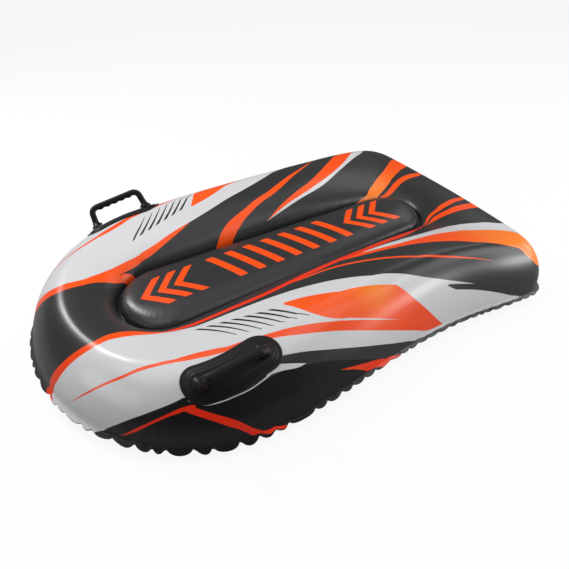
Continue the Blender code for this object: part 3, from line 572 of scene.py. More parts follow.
def paintBothSides(livery, flip):
    turn = mirrored if flip else list
    livery.region("orange", turn(between(slimAbove, slimBelow)), tone=(0.42,))
    livery.point("lineA", *turn([slimAbove, slimBelow]), 0.36,
                 tone=(0.22, 0.42, *turn([[(0.3, 1.3), (0.5, 1.7)]])[0]))
    livery.region("orange", turn([  # side panel, with a pale wedge under its front
        [(1.217, 2.169), (1.285, 2.112), (1.350, 2.022), (1.425, 1.890), (1.516, 1.705)],
        [(1.516, 1.705), (1.545, 1.498), (1.590, 1.272), (1.642, 1.040)],
        [(1.642, 1.040), (1.588, 1.050), (1.534, 1.144), (1.453, 1.278)],
        [(1.453, 1.278), (1.477, 1.355)], wedgeAbove]),
        tone=(0.52, 0.34, *turn([[(1.36, 1.90), (1.60, 1.20)]])[0]))
    livery.point("paleLine", *turn([slimAbove[:-5:-1], wedgeAbove]), 0.15)
    # painted highlight: a lighter, more amber patch near the side panel's upper edge
    livery.paintedHighlight(turn([[(1.460, 1.80)]])[0][0], 0.050, 0.34)
    livery.region("orange", turn([  # bent line low on the side, its last arm crossing the flange
        bentAbove, [(0.746, 1.476), (0.804, 1.398), (0.893, 1.255), (0.975, 1.005)],
        [(0.975, 1.005), (1.018, 0.71), (1.052, 0.0)],
        [(1.052, 0.0), (1.012, 0.16), (0.976, 0.56), (0.953, 0.76)],
        [(0.953, 0.76), (0.922, 1.060), (0.841, 1.256), (0.725, 1.427)], bentBelow[::-1]]), tone=(0.06,))
    livery.point("lineB", *turn([bentAbove, bentBelow]), 0.24, tone=(0.06,))
    livery.region("orange", turn(between(flashAbove, flashBelow)), tone=(0.14,))
    livery.point("lineA", *turn([flashAbove, flashBelow]), 0.07, tone=(0.30,))
    livery.strip("paleLine", turn([[(0.742, 1.520), (0.770, 1.497), (0.795, 1.467), (0.855, 1.462),
                                    (0.912, 1.475), (1.008, 1.500), (1.065, 1.545)]])[0],
                 (0.0004, 0.0014, 0.0022, 0.0022, 0.0020, 0.0022, 0.0040))
    sliver = [[(1.035, 1.535), (1.075, 1.585), (1.100, 1.550), (1.150, 1.468)],
              [(1.150, 1.468), (1.127, 1.470), (1.083, 1.510), (1.035, 1.535)]]
    livery.region("silver", turn(sliver))
    livery.point("paleLine", *turn([sliver[0][::-1], sliver[1]]), 0.045)
    livery.region("black", turn([
        [(0.375, beyond), (0.381, 0.09), (0.397, 0.64), (0.432, 1.076), (0.487, 1.221), (0.600, 1.405),
         (0.698, 1.515), (0.740, 1.550)],
        [(0.740, 1.550), (0.770, 1.497), (0.855, 1.462), (1.008, 1.500), (1.083, 1.510)],
        [(1.083, 1.510), (1.145, 1.455), (1.188, 1.415), (1.232, 1.350), (1.290, 1.25), (1.385, 1.050),
         (1.440, 0.485), (1.465, beyond)],
        [(1.465, beyond), (0.375, beyond)]]))


def paintNear(livery):
    silverAbove = [(0.715, 2.470), (0.865, 2.455), (1.022, 2.395), (1.113, 2.365), (1.210, 2.320),
                   (1.320, 2.235), (1.417, 2.115), (1.485, 1.995), (1.540, 1.850), (1.610, 1.660),
                   (1.677, 1.530), (1.775, 1.380)]
    livery.region("silver", [frontLine, silverAbove, *flashLine, *lowerLine,
                             [(0.375, beyond), (0.170, beyond)]])
    livery.point("paleLine", silverAbove[::-1], flashLine[0], 0.09)
    livery.region("orange", [  # line round the nose's dark band
        [(0.128, beyond), (0.122, 0.03), (0.115, 0.86), (0.134, 1.180), (0.162, 1.375), (0.197, 1.565),
         (0.235, 1.75), (0.272, 1.93), (0.305, 2.13), (0.362, 2.295), (0.450, 2.43), (0.600, 2.505),
         (0.735, 2.510)],
        [(0.735, 2.510), (0.715, 2.470)], frontLine[::-1], [(0.170, beyond), (0.128, beyond)]],
        tone=(0.18, 0.44, (0.14, 0.5), (0.40, 2.2)))
    livery.region("orange", [  # line down the near side of the groove
        [(0.690, 2.475), (0.865, 2.470), (1.022, 2.435), (1.125, 2.415), (1.240, 2.385), (1.343, 2.392),
         (1.446, 2.392), (1.537, 2.394), (1.601, 2.385), (1.686, 2.412), (1.740, 2.430), (1.816, 2.458),
         (1.874, 2.510), (1.985, 2.657), (2.10, 2.72), (2.26, 2.767)],
        [(2.26, 2.767), (2.17, 2.80), (2.04, 2.77), (1.90, 2.660), (1.767, 2.560), (1.653, 2.495),
         (1.528, 2.480), (1.402, 2.472), (1.343, 2.462), (1.240, 2.450), (1.125, 2.482), (1.022, 2.500),
         (0.868, 2.545), (0.760, 2.525), (0.690, 2.475)]], tone=(0.10,))
    livery.strip("lineA", [(1.300, 2.425), (1.355, 2.382), (1.448, 2.334), (1.501, 2.279), (1.547, 2.211),
                           (1.590, 2.142), (1.636, 2.052), (1.666, 1.985), (1.709, 1.855), (1.762, 1.755),
                           (1.820, 1.670), (1.874, 1.592)],
                 (0.002, 0.0058, 0.0066, 0.0070, 0.0070, 0.0068, 0.0066, 0.0062, 0.0056, 0.0044, 0.0026,
                  0.0004), tone=(0.42,))
    paleAbove = [(1.600, 2.384), (1.675, 2.389), (1.765, 2.385), (1.860, 2.395), (1.974, 2.430),
                 (2.450, 2.377), (2.802, 2.222), (3.035, 2.048), (3.14, 1.75), (3.205, 1.42), (3.235, 1.05),
                 (3.24, beyond)]
    paleBelow = [(1.600, 2.384), (1.652, 2.337), (1.715, 2.300), (1.790, 2.292), (1.899, 2.297),
                 (1.968, 2.270), (2.227, 2.208), (2.529, 2.094), (2.655, 2.007), (2.762, 1.831), (2.90, 1.48),
                 (2.99, 1.05), (3.01, beyond)]
    glowBelow = [(1.511, 2.406), (1.576, 2.328), (1.629, 2.280), (1.674, 2.245), (1.732, 2.205),
                 (1.796, 2.145), (1.855, 2.065), (1.892, 1.980), (1.934, 1.863), (1.986, 1.724),
                 (2.064, 1.578), (2.254, 1.407), (2.485, 1.268), (2.60, 0.9), (2.66, beyond)]
    livery.region("silver", between(paleAbove, paleBelow))  # pale half of the broad rear sweep
    livery.point("paleLine", paleAbove, paleBelow, 0.10)
    livery.region("orange", [*between(paleBelow, glowBelow), [glowBelow[0], paleBelow[0]]],
                  tone=(0.40, 0.82, (1.80, 2.25), (2.45, 1.9)))
    livery.point("lineB", [glowBelow[0], *paleBelow], glowBelow, 0.14, tone=(0.40,))
    upper = [[(2.22, 2.795), (2.55, 2.785), (2.900, 2.750), (3.321, 2.545), (3.608, 2.292), (3.706, 2.097),
              (3.745, 1.80), (3.765, 1.45)],
             [(2.22, 2.795), (2.55, 2.745), (2.905, 2.685), (3.301, 2.469), (3.525, 2.257), (3.634, 2.083),
              (3.715, 1.80), (3.765, 1.45)]]
    lower = [[(2.18, 2.755), (2.55, 2.705), (2.954, 2.618), (3.296, 2.398), (3.486, 2.184), (3.567, 1.985),
              (3.60, 1.80), (3.615, 1.50)],
             [(2.18, 2.755), (2.45, 2.680), (2.726, 2.606), (3.112, 2.425), (3.314, 2.235), (3.427, 2.060),
              (3.52, 1.80), (3.615, 1.50)]]
    for key, (above, below) in (("lineA", upper), ("lineB", lower)):  # two stripes over the tail's crest
        livery.region("orange", [above, below[::-1]], tone=(0.42,))
        livery.point(key, above, below, 0.10, tone=(0.42,))
        livery.point(key, above[::-1], below[::-1], 0.10, tone=(0.42,))


def paintFar(livery):
    border = [(7.690, beyond), (7.690, 0.07), (7.752, 1.50), (7.748, 1.90), (7.685, 2.170), (7.590, 2.325),
              (7.455, 2.460), (7.207, 2.575), (7.100, 2.597), (7.015, 2.590), (6.941, 2.524), (6.874, 2.446),
              (6.788, 2.374)]
    livery.region("silver", [
        border,
        [(6.788, 2.374), (6.718, 2.310), (6.640, 2.225), (6.560, 2.150), (6.490, 2.070), (6.433, 1.985),
         (6.370, 1.84), (6.300, 1.62), (6.225, 1.380)],
        *mirrored(flashLine), *mirrored(lowerLine), [(7.625, beyond), (7.690, beyond)]])
    livery.point("paleLine", [(6.225, 1.380), (6.300, 1.62), (6.370, 1.84)], mirrored(flashLine)[0], 0.09)
    livery.region("orange", [  # line round the nose's dark band, forking at the groove
        [(7.722, beyond), (7.722, 0.07), (7.800, 1.53), (7.800, 1.92), (7.745, 2.180), (7.670, 2.365),
         (7.520, 2.690), (7.362, 2.915), (7.290, 3.2), (7.285, groove)],
        [(7.285, groove), (7.130, groove)],
        [(7.130, groove), (7.140, 3.10), (7.200, 2.880), (7.430, 2.635)],
        [(7.430, 2.635), (7.200, 2.735), (7.060, 2.735), (6.978, 2.690), (6.913, 2.581), (6.844, 2.468),
         (6.788, 2.374)],
        border[::-1], [(7.690, beyond), (7.722, beyond)]],
        tone=(0.30, 0.50, (7.72, 1.0), (7.50, 2.4)))
    kinkFront = [(6.190, 1.80), (6.272, 1.995), (6.383, 2.155), (6.470, 2.300), (6.534, 2.380),
                 (6.578, 2.458), (6.621, 2.521), (6.657, 2.590), (6.687, 2.710), (6.707, 2.863),
                 (6.725, 3.10), (6.730, groove)]
    kinkRear = [(6.190, 1.80), (6.272, 2.010), (6.353, 2.165), (6.440, 2.350), (6.510, 2.446), (6.554, 2.537),
                (6.592, 2.640), (6.615, 2.737), (6.638, 2.871), (6.650, 3.10), (6.652, groove)]
    livery.region("orange", between(kinkFront, kinkRear), tone=(0.48,))
    livery.point("lineA", kinkFront, kinkRear, 0.50, tone=(0.48,))
    middle = [(6.487, 2.745), (6.395, 2.580), (6.285, 2.445), (6.190, 2.310), (6.103, 2.135), (6.018, 1.835),
              (5.930, 1.48), (5.86, 1.05), (5.85, beyond)]
    spearFront = [(6.487, 2.745), (6.425, 2.570), (6.350, 2.430), (6.282, 2.325), (6.210, 2.155),
                  (6.117, 1.865), (6.070, 1.48), (6.040, 1.05), (6.04, beyond)]
    spearRear = [(6.487, 2.745), (6.418, 2.655), (6.330, 2.550), (6.218, 2.430), (6.133, 2.265),
                 (6.040, 2.075), (5.860, 1.80), (5.700, 1.42), (5.65, 1.05), (5.64, beyond)]
    livery.region("orange", between(middle, spearFront),  # spear, pale behind
                  tone=(0.50, 0.36, (6.4, 2.5), (6.0, 1.3)))
    livery.region("silver", between(spearRear, middle))
    livery.point("lineB", spearFront, middle, 0.09, tone=(0.5,))
    livery.point("paleLine", middle, spearRear, 0.09)
    broad = [[(4.690, 1.25), (4.750, 1.60), (4.830, 1.85), (4.953, 2.056), (5.188, 2.245), (5.421, 2.390),
              (5.593, 2.495), (5.735, 2.590), (5.930, 2.720), (6.030, 2.850), (6.085, 3.05), (6.100, groove)],
             [(4.690, 1.25), (4.630, 1.60), (4.630, 1.85), (4.660, 1.990), (4.741, 2.116), (4.860, 2.275),
              (5.030, 2.440), (5.271, 2.628), (5.490, 2.805), (5.640, 2.980), (5.700, 3.20), (5.710, groove)]]
    slim = [[(4.350, 1.40), (4.405, 1.80), (4.470, 2.015), (4.545, 2.095), (4.661, 2.215), (4.837, 2.390),
             (5.050, 2.570), (5.280, 2.755), (5.500, 2.940), (5.580, 3.20), (5.590, groove)],
            [(4.350, 1.40), (4.365, 1.80), (4.400, 2.015), (4.450, 2.100), (4.541, 2.213), (4.660, 2.353),
             (4.830, 2.545), (5.100, 2.765), (5.330, 2.975), (5.400, 3.20), (5.410, groove)]]
    for key, (front, rear), tone in (("lineA", broad, (0.80, 0.45, (6.0, 2.8), (4.9, 2.0))),
                                     ("lineB", slim, (0.5,))):
        livery.region("orange", between(front, rear), tone=tone)
        livery.point(key, front, rear, 0.07, tone=(0.45,))


def paintPad(livery):
    # generic row of chevrons and slanted bars, laid out in plan (x across, y along)
    row = {"half": 0.052, "sweep": 0.046, "stroke": 0.021,
           "tips": (-0.345, -0.305, -0.265, 0.205, 0.245, 0.285),
           "bars": (-0.165, -0.115, -0.065, -0.015, 0.035, 0.085, 0.135), "slant": 0.044}
    h, k, w = row["half"], row["sweep"], row["stroke"]
    for y in row["tips"]:
        ring = [(0, y), (h, y + k), (h, y + k + w), (0, y + w), (-h, y + k + w), (-h, y + k), (0, y)]
        livery.region("orange", edges(ring), tone=(0.45,))
    for y in row["bars"]:
        ring = [(-h, y), (h, y + row["slant"]), (h, y + row["slant"] + w), (-h, y + w), (-h, y)]
        livery.region("orange", edges(ring), tone=(0.45,))


hatch = {
    "thick": ((0.980, 2.350), (1.016, 2.322), (1.050, 2.285), (1.080, 2.255), (1.113, 2.225), (1.145, 2.195),
              (1.178, 2.165)),
    "slim": ((1.045, 2.065), (1.078, 2.038), (1.107, 2.010), (1.138, 1.978), (1.170, 1.945), (1.203, 1.910),
             (1.235, 1.875)),
    "bow": 0.0035, "thickHalf": 0.24, "slimHalf": 0.05, "softness": 0.014, "offSheet": -9.0,
    "noseStretch": 0.45, "nearAcross": (-2, 8), "nearAlong": (-0.8, 1.8), "trustAcross": 1.6,
    "trustAlong": 0.35, "step": 1e-3, "endSoftness": 0.01, "sideReach": 0.4,
}


def hatchPlaces(s, t):
    # stroke number and place along the stroke, 0 to 1, from Newton's steps on a family of curves:
    # straight from the thick end to the slim end, plus a parabola's bow
    u = toHalf(s)
    u = np.where(u < 1, 1 - (1 - u) * hatch["noseStretch"], u)  # stations lie closer in front of 1
    count = np.arange(len(hatch["thick"]))
    thickU, thickT, slimU, slimT = [
        np.polyfit(count, np.array(hatch[end])[:, axis], 2) for end in ("thick", "slim") for axis in (0, 1)]

    def family(k, v):
        bow = 4 * v * (1 - v) * hatch["bow"]
        return (np.polyval(thickU, k) * (1 - v) + np.polyval(slimU, k) * v + bow,
                np.polyval(thickT, k) * (1 - v) + np.polyval(slimT, k) * v)

    def slope(k, v, stepK, stepV):
        # how fast u and t change with k or with v
        after, before = family(k + stepK, v + stepV), family(k - stepK, v - stepV)
        return [(a - b) / (2 * (stepK + stepV)) for a, b in zip(after, before)]

    samples = np.meshgrid(np.linspace(-1, 7, 9), np.linspace(-0.3, 1.3, 9))
    sampleK, sampleV = [side.ravel() for side in samples]
    sampleU, sampleT = family(sampleK, sampleV)
    solved = np.linalg.lstsq(np.stack([sampleU, sampleT, np.ones_like(sampleU)], 1),
                             np.stack([sampleK, sampleV], 1), rcond=None)[0]
    k, v = (np.stack([u, t, np.ones_like(u)], -1) @ solved).T
    k, v = k.copy(), v.copy()
    (lowK, highK), (lowV, highV) = hatch["nearAcross"], hatch["nearAlong"]
    close = (k > lowK) & (k < highK) & (v > lowV) & (v < highV)
    kNow, vNow = k[close], v[close]
    for _ in range(5):
        gapU, gapT = family(kNow, vNow)
        gapU, gapT = gapU - u[close], gapT - t[close]
        byKU, byKT = slope(kNow, vNow, hatch["step"], 0.0)
        byVU, byVT = slope(kNow, vNow, 0.0, hatch["step"])
        size = byKU * byVT - byKT * byVU
        kNow, vNow = (kNow - (gapU * byVT - gapT * byVU) / size, vNow - (gapT * byKU - gapU * byKT) / size)
    # where the steps ran off to a far root, the place counts as past the nearer end
    sound = (np.abs(kNow - k[close]) < hatch["trustAcross"]) & (np.abs(vNow - v[close]) < hatch["trustAlong"])
    beyondEnds = np.where(v[close] < 0.5, -1.0, 2.0)
    k[close], v[close] = np.where(sound, kNow, k[close]), np.where(sound, vNow, beyondEnds)
    return np.clip(k, -6, 14), np.clip(v, -1, 2)


# Finishes

def addNode(tree, kind, **settings):
    node = tree.nodes.new(kind)
    for key, value in settings.items():
        setattr(node, key, value)
    return node


def fill(node, **values):
    for key, value in values.items():
        node.inputs[key].default_value = value
    return node


def feed(tree, value, socket):
    # a number or a colour is set on the socket, and anything else is linked to it
    if isinstance(value, (int, float, tuple)):
        socket.default_value = value
    else:
        tree.links.new(value, socket)


def mathNode(tree, operation, *values):
    node = addNode(tree, "ShaderNodeMath", operation=operation)
    for socket, value in zip(node.inputs, values):
        feed(tree, value, socket)
    return node.outputs[0]


def mixColour(tree, share, first, second):
    node = addNode(tree, "ShaderNodeMix", data_type="RGBA")
    for index, value in ((0, share), (6, first), (7, second)):
        feed(tree, value, node.inputs[index])
    return node.outputs[2]


def mapRange(tree, value, *limits):
    # limits: low and high of the value, then low and high of the result
    node = addNode(tree, "ShaderNodeMapRange")
    for socket, given in zip(node.inputs, (value, *limits)):
        feed(tree, given, socket)
    return node.outputs[0]


def noise(tree, coordinates, scale, detail, roughness):
    node = fill(addNode(tree, "ShaderNodeTexNoise"), Detail=detail, Roughness=roughness)
    feed(tree, coordinates, node.inputs["Vector"])
    feed(tree, scale, node.inputs["Scale"])
    return node.outputs["Fac"]


def newGroup(name, inputs, outputs):
    tree = bpy.data.node_groups.new(name, "ShaderNodeTree")
    for label, kind, value in inputs:
        socket = tree.interface.new_socket(label, in_out="INPUT", socket_type=kind)
        socket.default_value = value
    for label, kind in outputs:
        tree.interface.new_socket(label, in_out="OUTPUT", socket_type=kind)
    return tree, addNode(tree, "NodeGroupInput").outputs, addNode(tree, "NodeGroupOutput").inputs


surfaceNoise = {  # scale, detail and roughness; the grain's scale is an input of the group
    "slow": (7.0, 3.0, 0.5), "cloud": (38.0, 3.0, 0.6), "wave": (26.0, 1.0, 0.5), "grain": (2.0, 0.6),
}


def surfaceFinishGroup():
    # colour mottling, uneven gloss, fine grain and slow waves, in millimetres of height
    number, colour = "NodeSocketFloat", "NodeSocketColor"
    tree, given, out = newGroup("surfaceFinish", [
        ("Colour", colour, (0.5, 0.5, 0.5, 1)), ("Mottle", number, 0.04), ("Grain Scale", number, 900.0),
        ("Grain Height", number, 0.02), ("Wave Height", number, 0.1), ("Roughness", number, 0.4),
        ("Gloss Change", number, 0.05)],
        [("Colour", colour), ("Roughness", number), ("Height", number)])
    place = addNode(tree, "ShaderNodeTexCoord").outputs["Object"]
    slow, cloud, wave = [noise(tree, place, *surfaceNoise[key]) for key in ("slow", "cloud", "wave")]
    grain = noise(tree, place, given["Grain Scale"], *surfaceNoise["grain"])
    shift = mathNode(tree, "MULTIPLY", mathNode(tree, "SUBTRACT", slow, 0.5), given["Mottle"])
    shift = mathNode(tree, "MULTIPLY_ADD", shift, 2.0, 1.0)
    scaled = addNode(tree, "ShaderNodeVectorMath", operation="SCALE")
    tree.links.new(given["Colour"], scaled.inputs[0])
    tree.links.new(shift, scaled.inputs["Scale"])
    tree.links.new(scaled.outputs[0], out["Colour"])
    change = mathNode(tree, "MULTIPLY", mathNode(tree, "SUBTRACT", cloud, 0.5), given["Gloss Change"])
    tree.links.new(mathNode(tree, "ADD", given["Roughness"], change), out["Roughness"])
    fine = mathNode(tree, "MULTIPLY", grain, given["Grain Height"])
    broad = mathNode(tree, "MULTIPLY", wave, given["Wave Height"])
    tree.links.new(mathNode(tree, "ADD", fine, broad), out["Height"])
    return tree


def weldMarksGroup():
    # ridges that the welding bar leaves along the flange, from the distance to the outer edge
    number = "NodeSocketFloat"
    tree, given, out = newGroup("weldMarks", [
        ("Run", number, 1.0), ("Spacing", number, 0.0042), ("Width", number, 0.0125),
        ("Ridge Height", number, 0.2)],
        [("Height", number)])
    turn = mathNode(tree, "MULTIPLY", mathNode(tree, "DIVIDE", given["Run"], given["Spacing"]), 2 * math.pi)
    ridge = mathNode(tree, "MULTIPLY", mathNode(tree, "COSINE", turn), given["Ridge Height"])
    share = mathNode(tree, "DIVIDE", given["Run"], given["Width"])
    fadeOut, fadeIn = mapRange(tree, share, 0.9, 1.0, 1.0, 0.0), mapRange(tree, share, 0.02, 0.10, 0.0, 1.0)
    mask = mathNode(tree, "MULTIPLY", fadeOut, fadeIn)
    tree.links.new(mathNode(tree, "MULTIPLY", ridge, mask), out["Height"])
    return tree


surfaceFinish, weldMarks = surfaceFinishGroup(), weldMarksGroup()


def newFinish(name):
    made = bpy.data.materials.new(name)
    made.use_nodes = True
    return made, made.node_tree, made.node_tree.nodes["Principled BSDF"]


def placeFinish(tree, shader, colour, look, extraHeight=None):
    # puts the shared surface group between a colour and the shader's sockets
    group = fill(addNode(tree, "ShaderNodeGroup", node_tree=surfaceFinish), **look)
    feed(tree, colour, group.inputs["Colour"])
    tree.links.new(group.outputs["Colour"], shader.inputs["Base Color"])
    tree.links.new(group.outputs["Roughness"], shader.inputs["Roughness"])
    height = group.outputs["Height"]
    if extraHeight is not None:
        height = mathNode(tree, "ADD", height, extraHeight)
    bump = fill(addNode(tree, "ShaderNodeBump"), Strength=1.0, Distance=0.001)
    tree.links.new(height, bump.inputs["Height"])
    tree.links.new(bump.outputs["Normal"], shader.inputs["Normal"])


printInks = {
    "charcoal": screen(47, 47, 48), "black": screen(12, 12, 13), "silver": screen(212, 212, 214),
    "hatch": screen(20, 21, 23), "redEnd": screen(242, 34, 0), "orange": screen(252, 84, 6),
    "amberEnd": screen(255, 150, 44), "edgeSoftness": 0.00035,
    "coatOnSilver": 0.32,
}


def printedVinyl():
    made, tree, shader = newFinish("printedVinyl")
    soft = printInks["edgeSoftness"]

    def attribute(name):
        return addNode(tree, "ShaderNodeAttribute", attribute_name=name).outputs["Fac"]

    def mask(name):
        return mapRange(tree, attribute(name), -soft, soft, 0.0, 1.0)

    def lineMask(name):
        # half width less the offset from the line's middle
        offset = mathNode(tree, "ABSOLUTE", attribute(name + "Offset"))
        left = mathNode(tree, "SUBTRACT", attribute(name + "Half"), offset)
        return mapRange(tree, left, -soft, soft, 0.0, 1.0)

    def hatchMask():
        # half width less the distance to the nearest whole stroke number, within the strokes' ends
        k, v = attribute("hatchAcross"), attribute("hatchAlong")
        shift = 100.5  # keeps the sum above 0 and puts a whole stroke number at a half
        gap = mathNode(tree, "FRACT", mathNode(tree, "ADD", k, shift))
        gap = mathNode(tree, "ABSOLUTE", mathNode(tree, "SUBTRACT", gap, 0.5))
        half = mapRange(tree, v, 0.0, 1.0, hatch["thickHalf"], hatch["slimHalf"])
        left = mathNode(tree, "SUBTRACT", half, gap)
        drawn = mapRange(tree, left, -hatch["softness"], hatch["softness"], 0.0, 1.0)
        last = len(hatch["thick"]) - 1
        fromMiddle = mathNode(tree, "ABSOLUTE", mathNode(tree, "SUBTRACT", k, last / 2))
        fade, side = hatch["endSoftness"], last / 2 + hatch["sideReach"]
        atThick = mapRange(tree, v, -fade, fade, 0.0, 1.0)
        atSlim = mapRange(tree, v, 1 - 2 * fade, 1.0, 1.0, 0.0)
        atSides = mapRange(tree, fromMiddle, side, side + 2 * fade, 1.0, 0.0)
        for limit in (atThick, atSlim, atSides):
            drawn = mathNode(tree, "MULTIPLY", drawn, limit)
        return drawn

    ramp = addNode(tree, "ShaderNodeValToRGB")
    tree.links.new(attribute("tone"), ramp.inputs["Fac"])
    stops = ramp.color_ramp.elements
    stops[0].color, stops[1].color = printInks["redEnd"], printInks["amberEnd"]
    stops.new(0.5).color = printInks["orange"]
    silver, paleLine = mask("silver"), lineMask("paleLine")
    warm = mask("orange")
    for name in ("lineA", "lineB"):
        warm = mathNode(tree, "MAXIMUM", warm, lineMask(name))
    colour = mixColour(tree, mask("black"), printInks["charcoal"], printInks["black"])
    colour = mixColour(tree, silver, colour, printInks["silver"])
    colour = mixColour(tree, warm, colour, ramp.outputs["Color"])
    colour = mixColour(tree, paleLine, colour, printInks["silver"])
    colour = mixColour(tree, hatchMask(), colour, printInks["hatch"])
    welds = addNode(tree, "ShaderNodeGroup", node_tree=weldMarks)
    tree.links.new(attribute("edgeRun"), welds.inputs["Run"])
    placeFinish(tree, shader, colour, {"Mottle": 0.030, "Grain Scale": 1100.0, "Grain Height": 0.010,
                                       "Wave Height": 0.10, "Roughness": 0.30, "Gloss Change": 0.07},
                welds.outputs["Height"])
    fill(shader, **{"Specular IOR Level": 0.40, "Coat Roughness": 0.12})
    coat = mathNode(tree, "MULTIPLY", silver, printInks["coatOnSilver"])
    tree.links.new(coat, shader.inputs["Coat Weight"])
    return made


lookLabels = ("Mottle", "Grain Scale", "Grain Height", "Wave Height", "Roughness", "Gloss Change")
plainLooks = {  # colour, values for the look's labels, and how much light the surface mirrors
    "baseVinyl": (screen(13, 13, 14), (0.06, 700.0, 0.02, 0.12, 0.40, 0.10), 0.35),
    "mouldedBlack": (screen(8, 8, 8), (0.05, 1600.0, 0.018, 0.03, 0.42, 0.12), 0.30),
    "webVinyl": (screen(172, 174, 178), (0.05, 600.0, 0.02, 0.1, 0.55, 0.05), 0.5),
    "seatVinyl": (screen(200, 201, 203), (0.03, 1500.0, 0.01, 0.02, 0.34, 0.05), 0.5),
    "valveBlack": (screen(44, 44, 45), (0.05, 1800.0, 0.02, 0.02, 0.42, 0.1), 0.5),
    "sealRubber": (screen(28, 28, 28), (0.08, 1500.0, 0.02, 0.02, 0.7, 0.05), 0.5),
    "flapSilicone": (screen(222, 222, 218), (0.02, 900.0, 0.005, 0.02, 0.45, 0.05), 0.5),
}


def plainFinish(name):
    colour, look, mirror = plainLooks[name]
    made, tree, shader = newFinish(name)
    placeFinish(tree, shader, colour, dict(zip(lookLabels, look)))
    fill(shader, **{"Specular IOR Level": mirror})
    return made


printed = printedVinyl()
plain = {name: plainFinish(name) for name in plainLooks}
print("finishes ready")


# Raised ring of the hull: the printed sheet from the flange's edge to the groove's weld

ringMesh = {"columns": 840, "flangeRows": 7, "wallStart": 0.10, "footRows": 7, "wallRows": 44,
            "slopeRows": 36, "landRows": 2, "weldEdge": 0.025}


def sideways(path, normals):
    # unit vectors to one side of each step of a path on the surface
    return unit(np.cross(normals[:-1], np.diff(path, axis=0)))


def makeRing():
    m = ringMesh
    s = evenStations(m["columns"])
    outer = np.concatenate([
        np.linspace(0, 1, m["flangeRows"])[:-1], 1 + np.linspace(0, m["wallStart"], m["footRows"])[:-1],
        1 + np.linspace(m["wallStart"], 1, m["wallRows"])[:-1],
        2 + np.linspace(0, 1, m["slopeRows"])[:-1], np.linspace(3, 3.5 - m["weldEdge"], m["landRows"] + 1)])
    inner = np.array([3.5 - m["weldEdge"], 3.1, 2.9, 2.7, 2.4, 2.15, 1.9, 1.65, 1.4, 1.2, 1.08, 1.0,
                      0.5, 0.0])
    gridS, gridT = grid(s, outer)
    top = sheetPoint(gridS, gridT)
    underS, underT = grid(s, inner)
    under = sheetPoint(underS, underT) - hullNormal(underS, underT) * hullShape["sheetGauge"]

    def lift(places):
        return hullPoint(places[:, 0], places[:, 1])

    def across(places):
        return sideways(lift(places), hullNormal(places[:, 0], places[:, 1]))

    livery = Livery(np.stack([gridS, gridT], -1), hullPoint(gridS, gridT), lift, across)
    paintNear(livery)
    paintFar(livery)
    paintBothSides(livery, False)
    paintBothSides(livery, True)
    attributes = livery.attributes(underS.size)
    run = np.where(gridT <= 1, gridT * hullShape["flangeWidth"], 1.0)
    attributes["edgeRun"] = np.concatenate([run.ravel(), np.ones(underS.size)])
    k, v = hatchPlaces(gridS.ravel(), gridT.ravel())
    attributes["hatchAcross"] = np.concatenate([k, np.full(underS.size, hatch["offSheet"])])
    attributes["hatchAlong"] = np.concatenate([v, np.where(underT > 2.9, -1.0, 2.0).ravel()])
    rows = len(outer) + len(inner)
    faces = gridFaces(rows, len(s), closeRows=True)
    ring = makePiece("hull_ring", np.concatenate([top, under]), faces, printed, attributes)
    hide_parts("top_sheet")


# Lying pad: the crowned skin inside the groove

padMesh = {"columns": 640, "rows": 44, "underRows": 9, "weldEdge": 0.025}


def makePad():
    m = padMesh
    s = evenStations(m["columns"], 4.0)
    outer = np.concatenate([[3.5 + m["weldEdge"], 3.75], 4 + np.linspace(0, 1, m["rows"])])
    inner = np.concatenate([4 + np.linspace(1, 0, m["underRows"]), [3.5 + m["weldEdge"]]])
    gridS, gridT = grid(s, outer)
    top = puckered(hullPoint(gridS, gridT), gridS, gridT)
    underS, underT = grid(s, inner)
    under = hullPoint(underS, underT) - np.array([0, 0, hullShape["sheetGauge"]])
    plan = top[..., :2]
    flat = np.concatenate([plan, np.zeros_like(plan[..., :1])], -1)
    livery = Livery(plan, flat, lambda places: np.concatenate([places, np.zeros((len(places), 1))], 1))
    paintPad(livery)
    attributes = livery.attributes(underS.size)
    attributes["edgeRun"] = np.ones(gridS.size + underS.size)
    for key in ("hatchAcross", "hatchAlong"):
        attributes[key] = np.full(gridS.size + underS.size, hatch["offSheet"])
    rows = len(outer) + len(inner)
    faces = gridFaces(rows, len(s), closeRows=True, openAfter=len(outer) - 1)
    pad = makePiece("lying_pad", np.concatenate([top, under]), faces, printed, attributes, join=2e-5)
    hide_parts("pad_sheet")


# Base sheet: black, from under the flange round the bilge to the flat bottom

baseMesh = {"columns": 800, "flangeRows": 5, "bilgeRows": 16, "flatRows": 9}


def basePoint(s, t):
    # flange, then a quarter ellipse down to the ground, then flat to the middle line
    h = hullShape
    s, t = np.broadcast_arrays(np.asarray(s, float), np.asarray(t, float))
    _, side, edgeX, edgeY, weldY, inX, inY, _, _ = stations(s)
    flangeZ = h["seamZ"] - h["gap"] / 2 - h["baseGauge"]
    turn = np.clip(t - 1, 0, 1) * np.pi / 2
    inward = np.where(t <= 1, h["flangeWidth"] * t, h["flangeWidth"] + h["bilgeWidth"] * (1 - np.cos(turn)))
    z = np.where(t <= 1, flangeZ, flangeZ * (1 - np.sin(turn)))
    x, y = edgeX + inX * inward, edgeY + inY * inward
    over = np.clip(t - 2, 0, 1)
    return np.stack([x * (1 - over) * side, y + (weldY - y) * over, z], axis=-1)


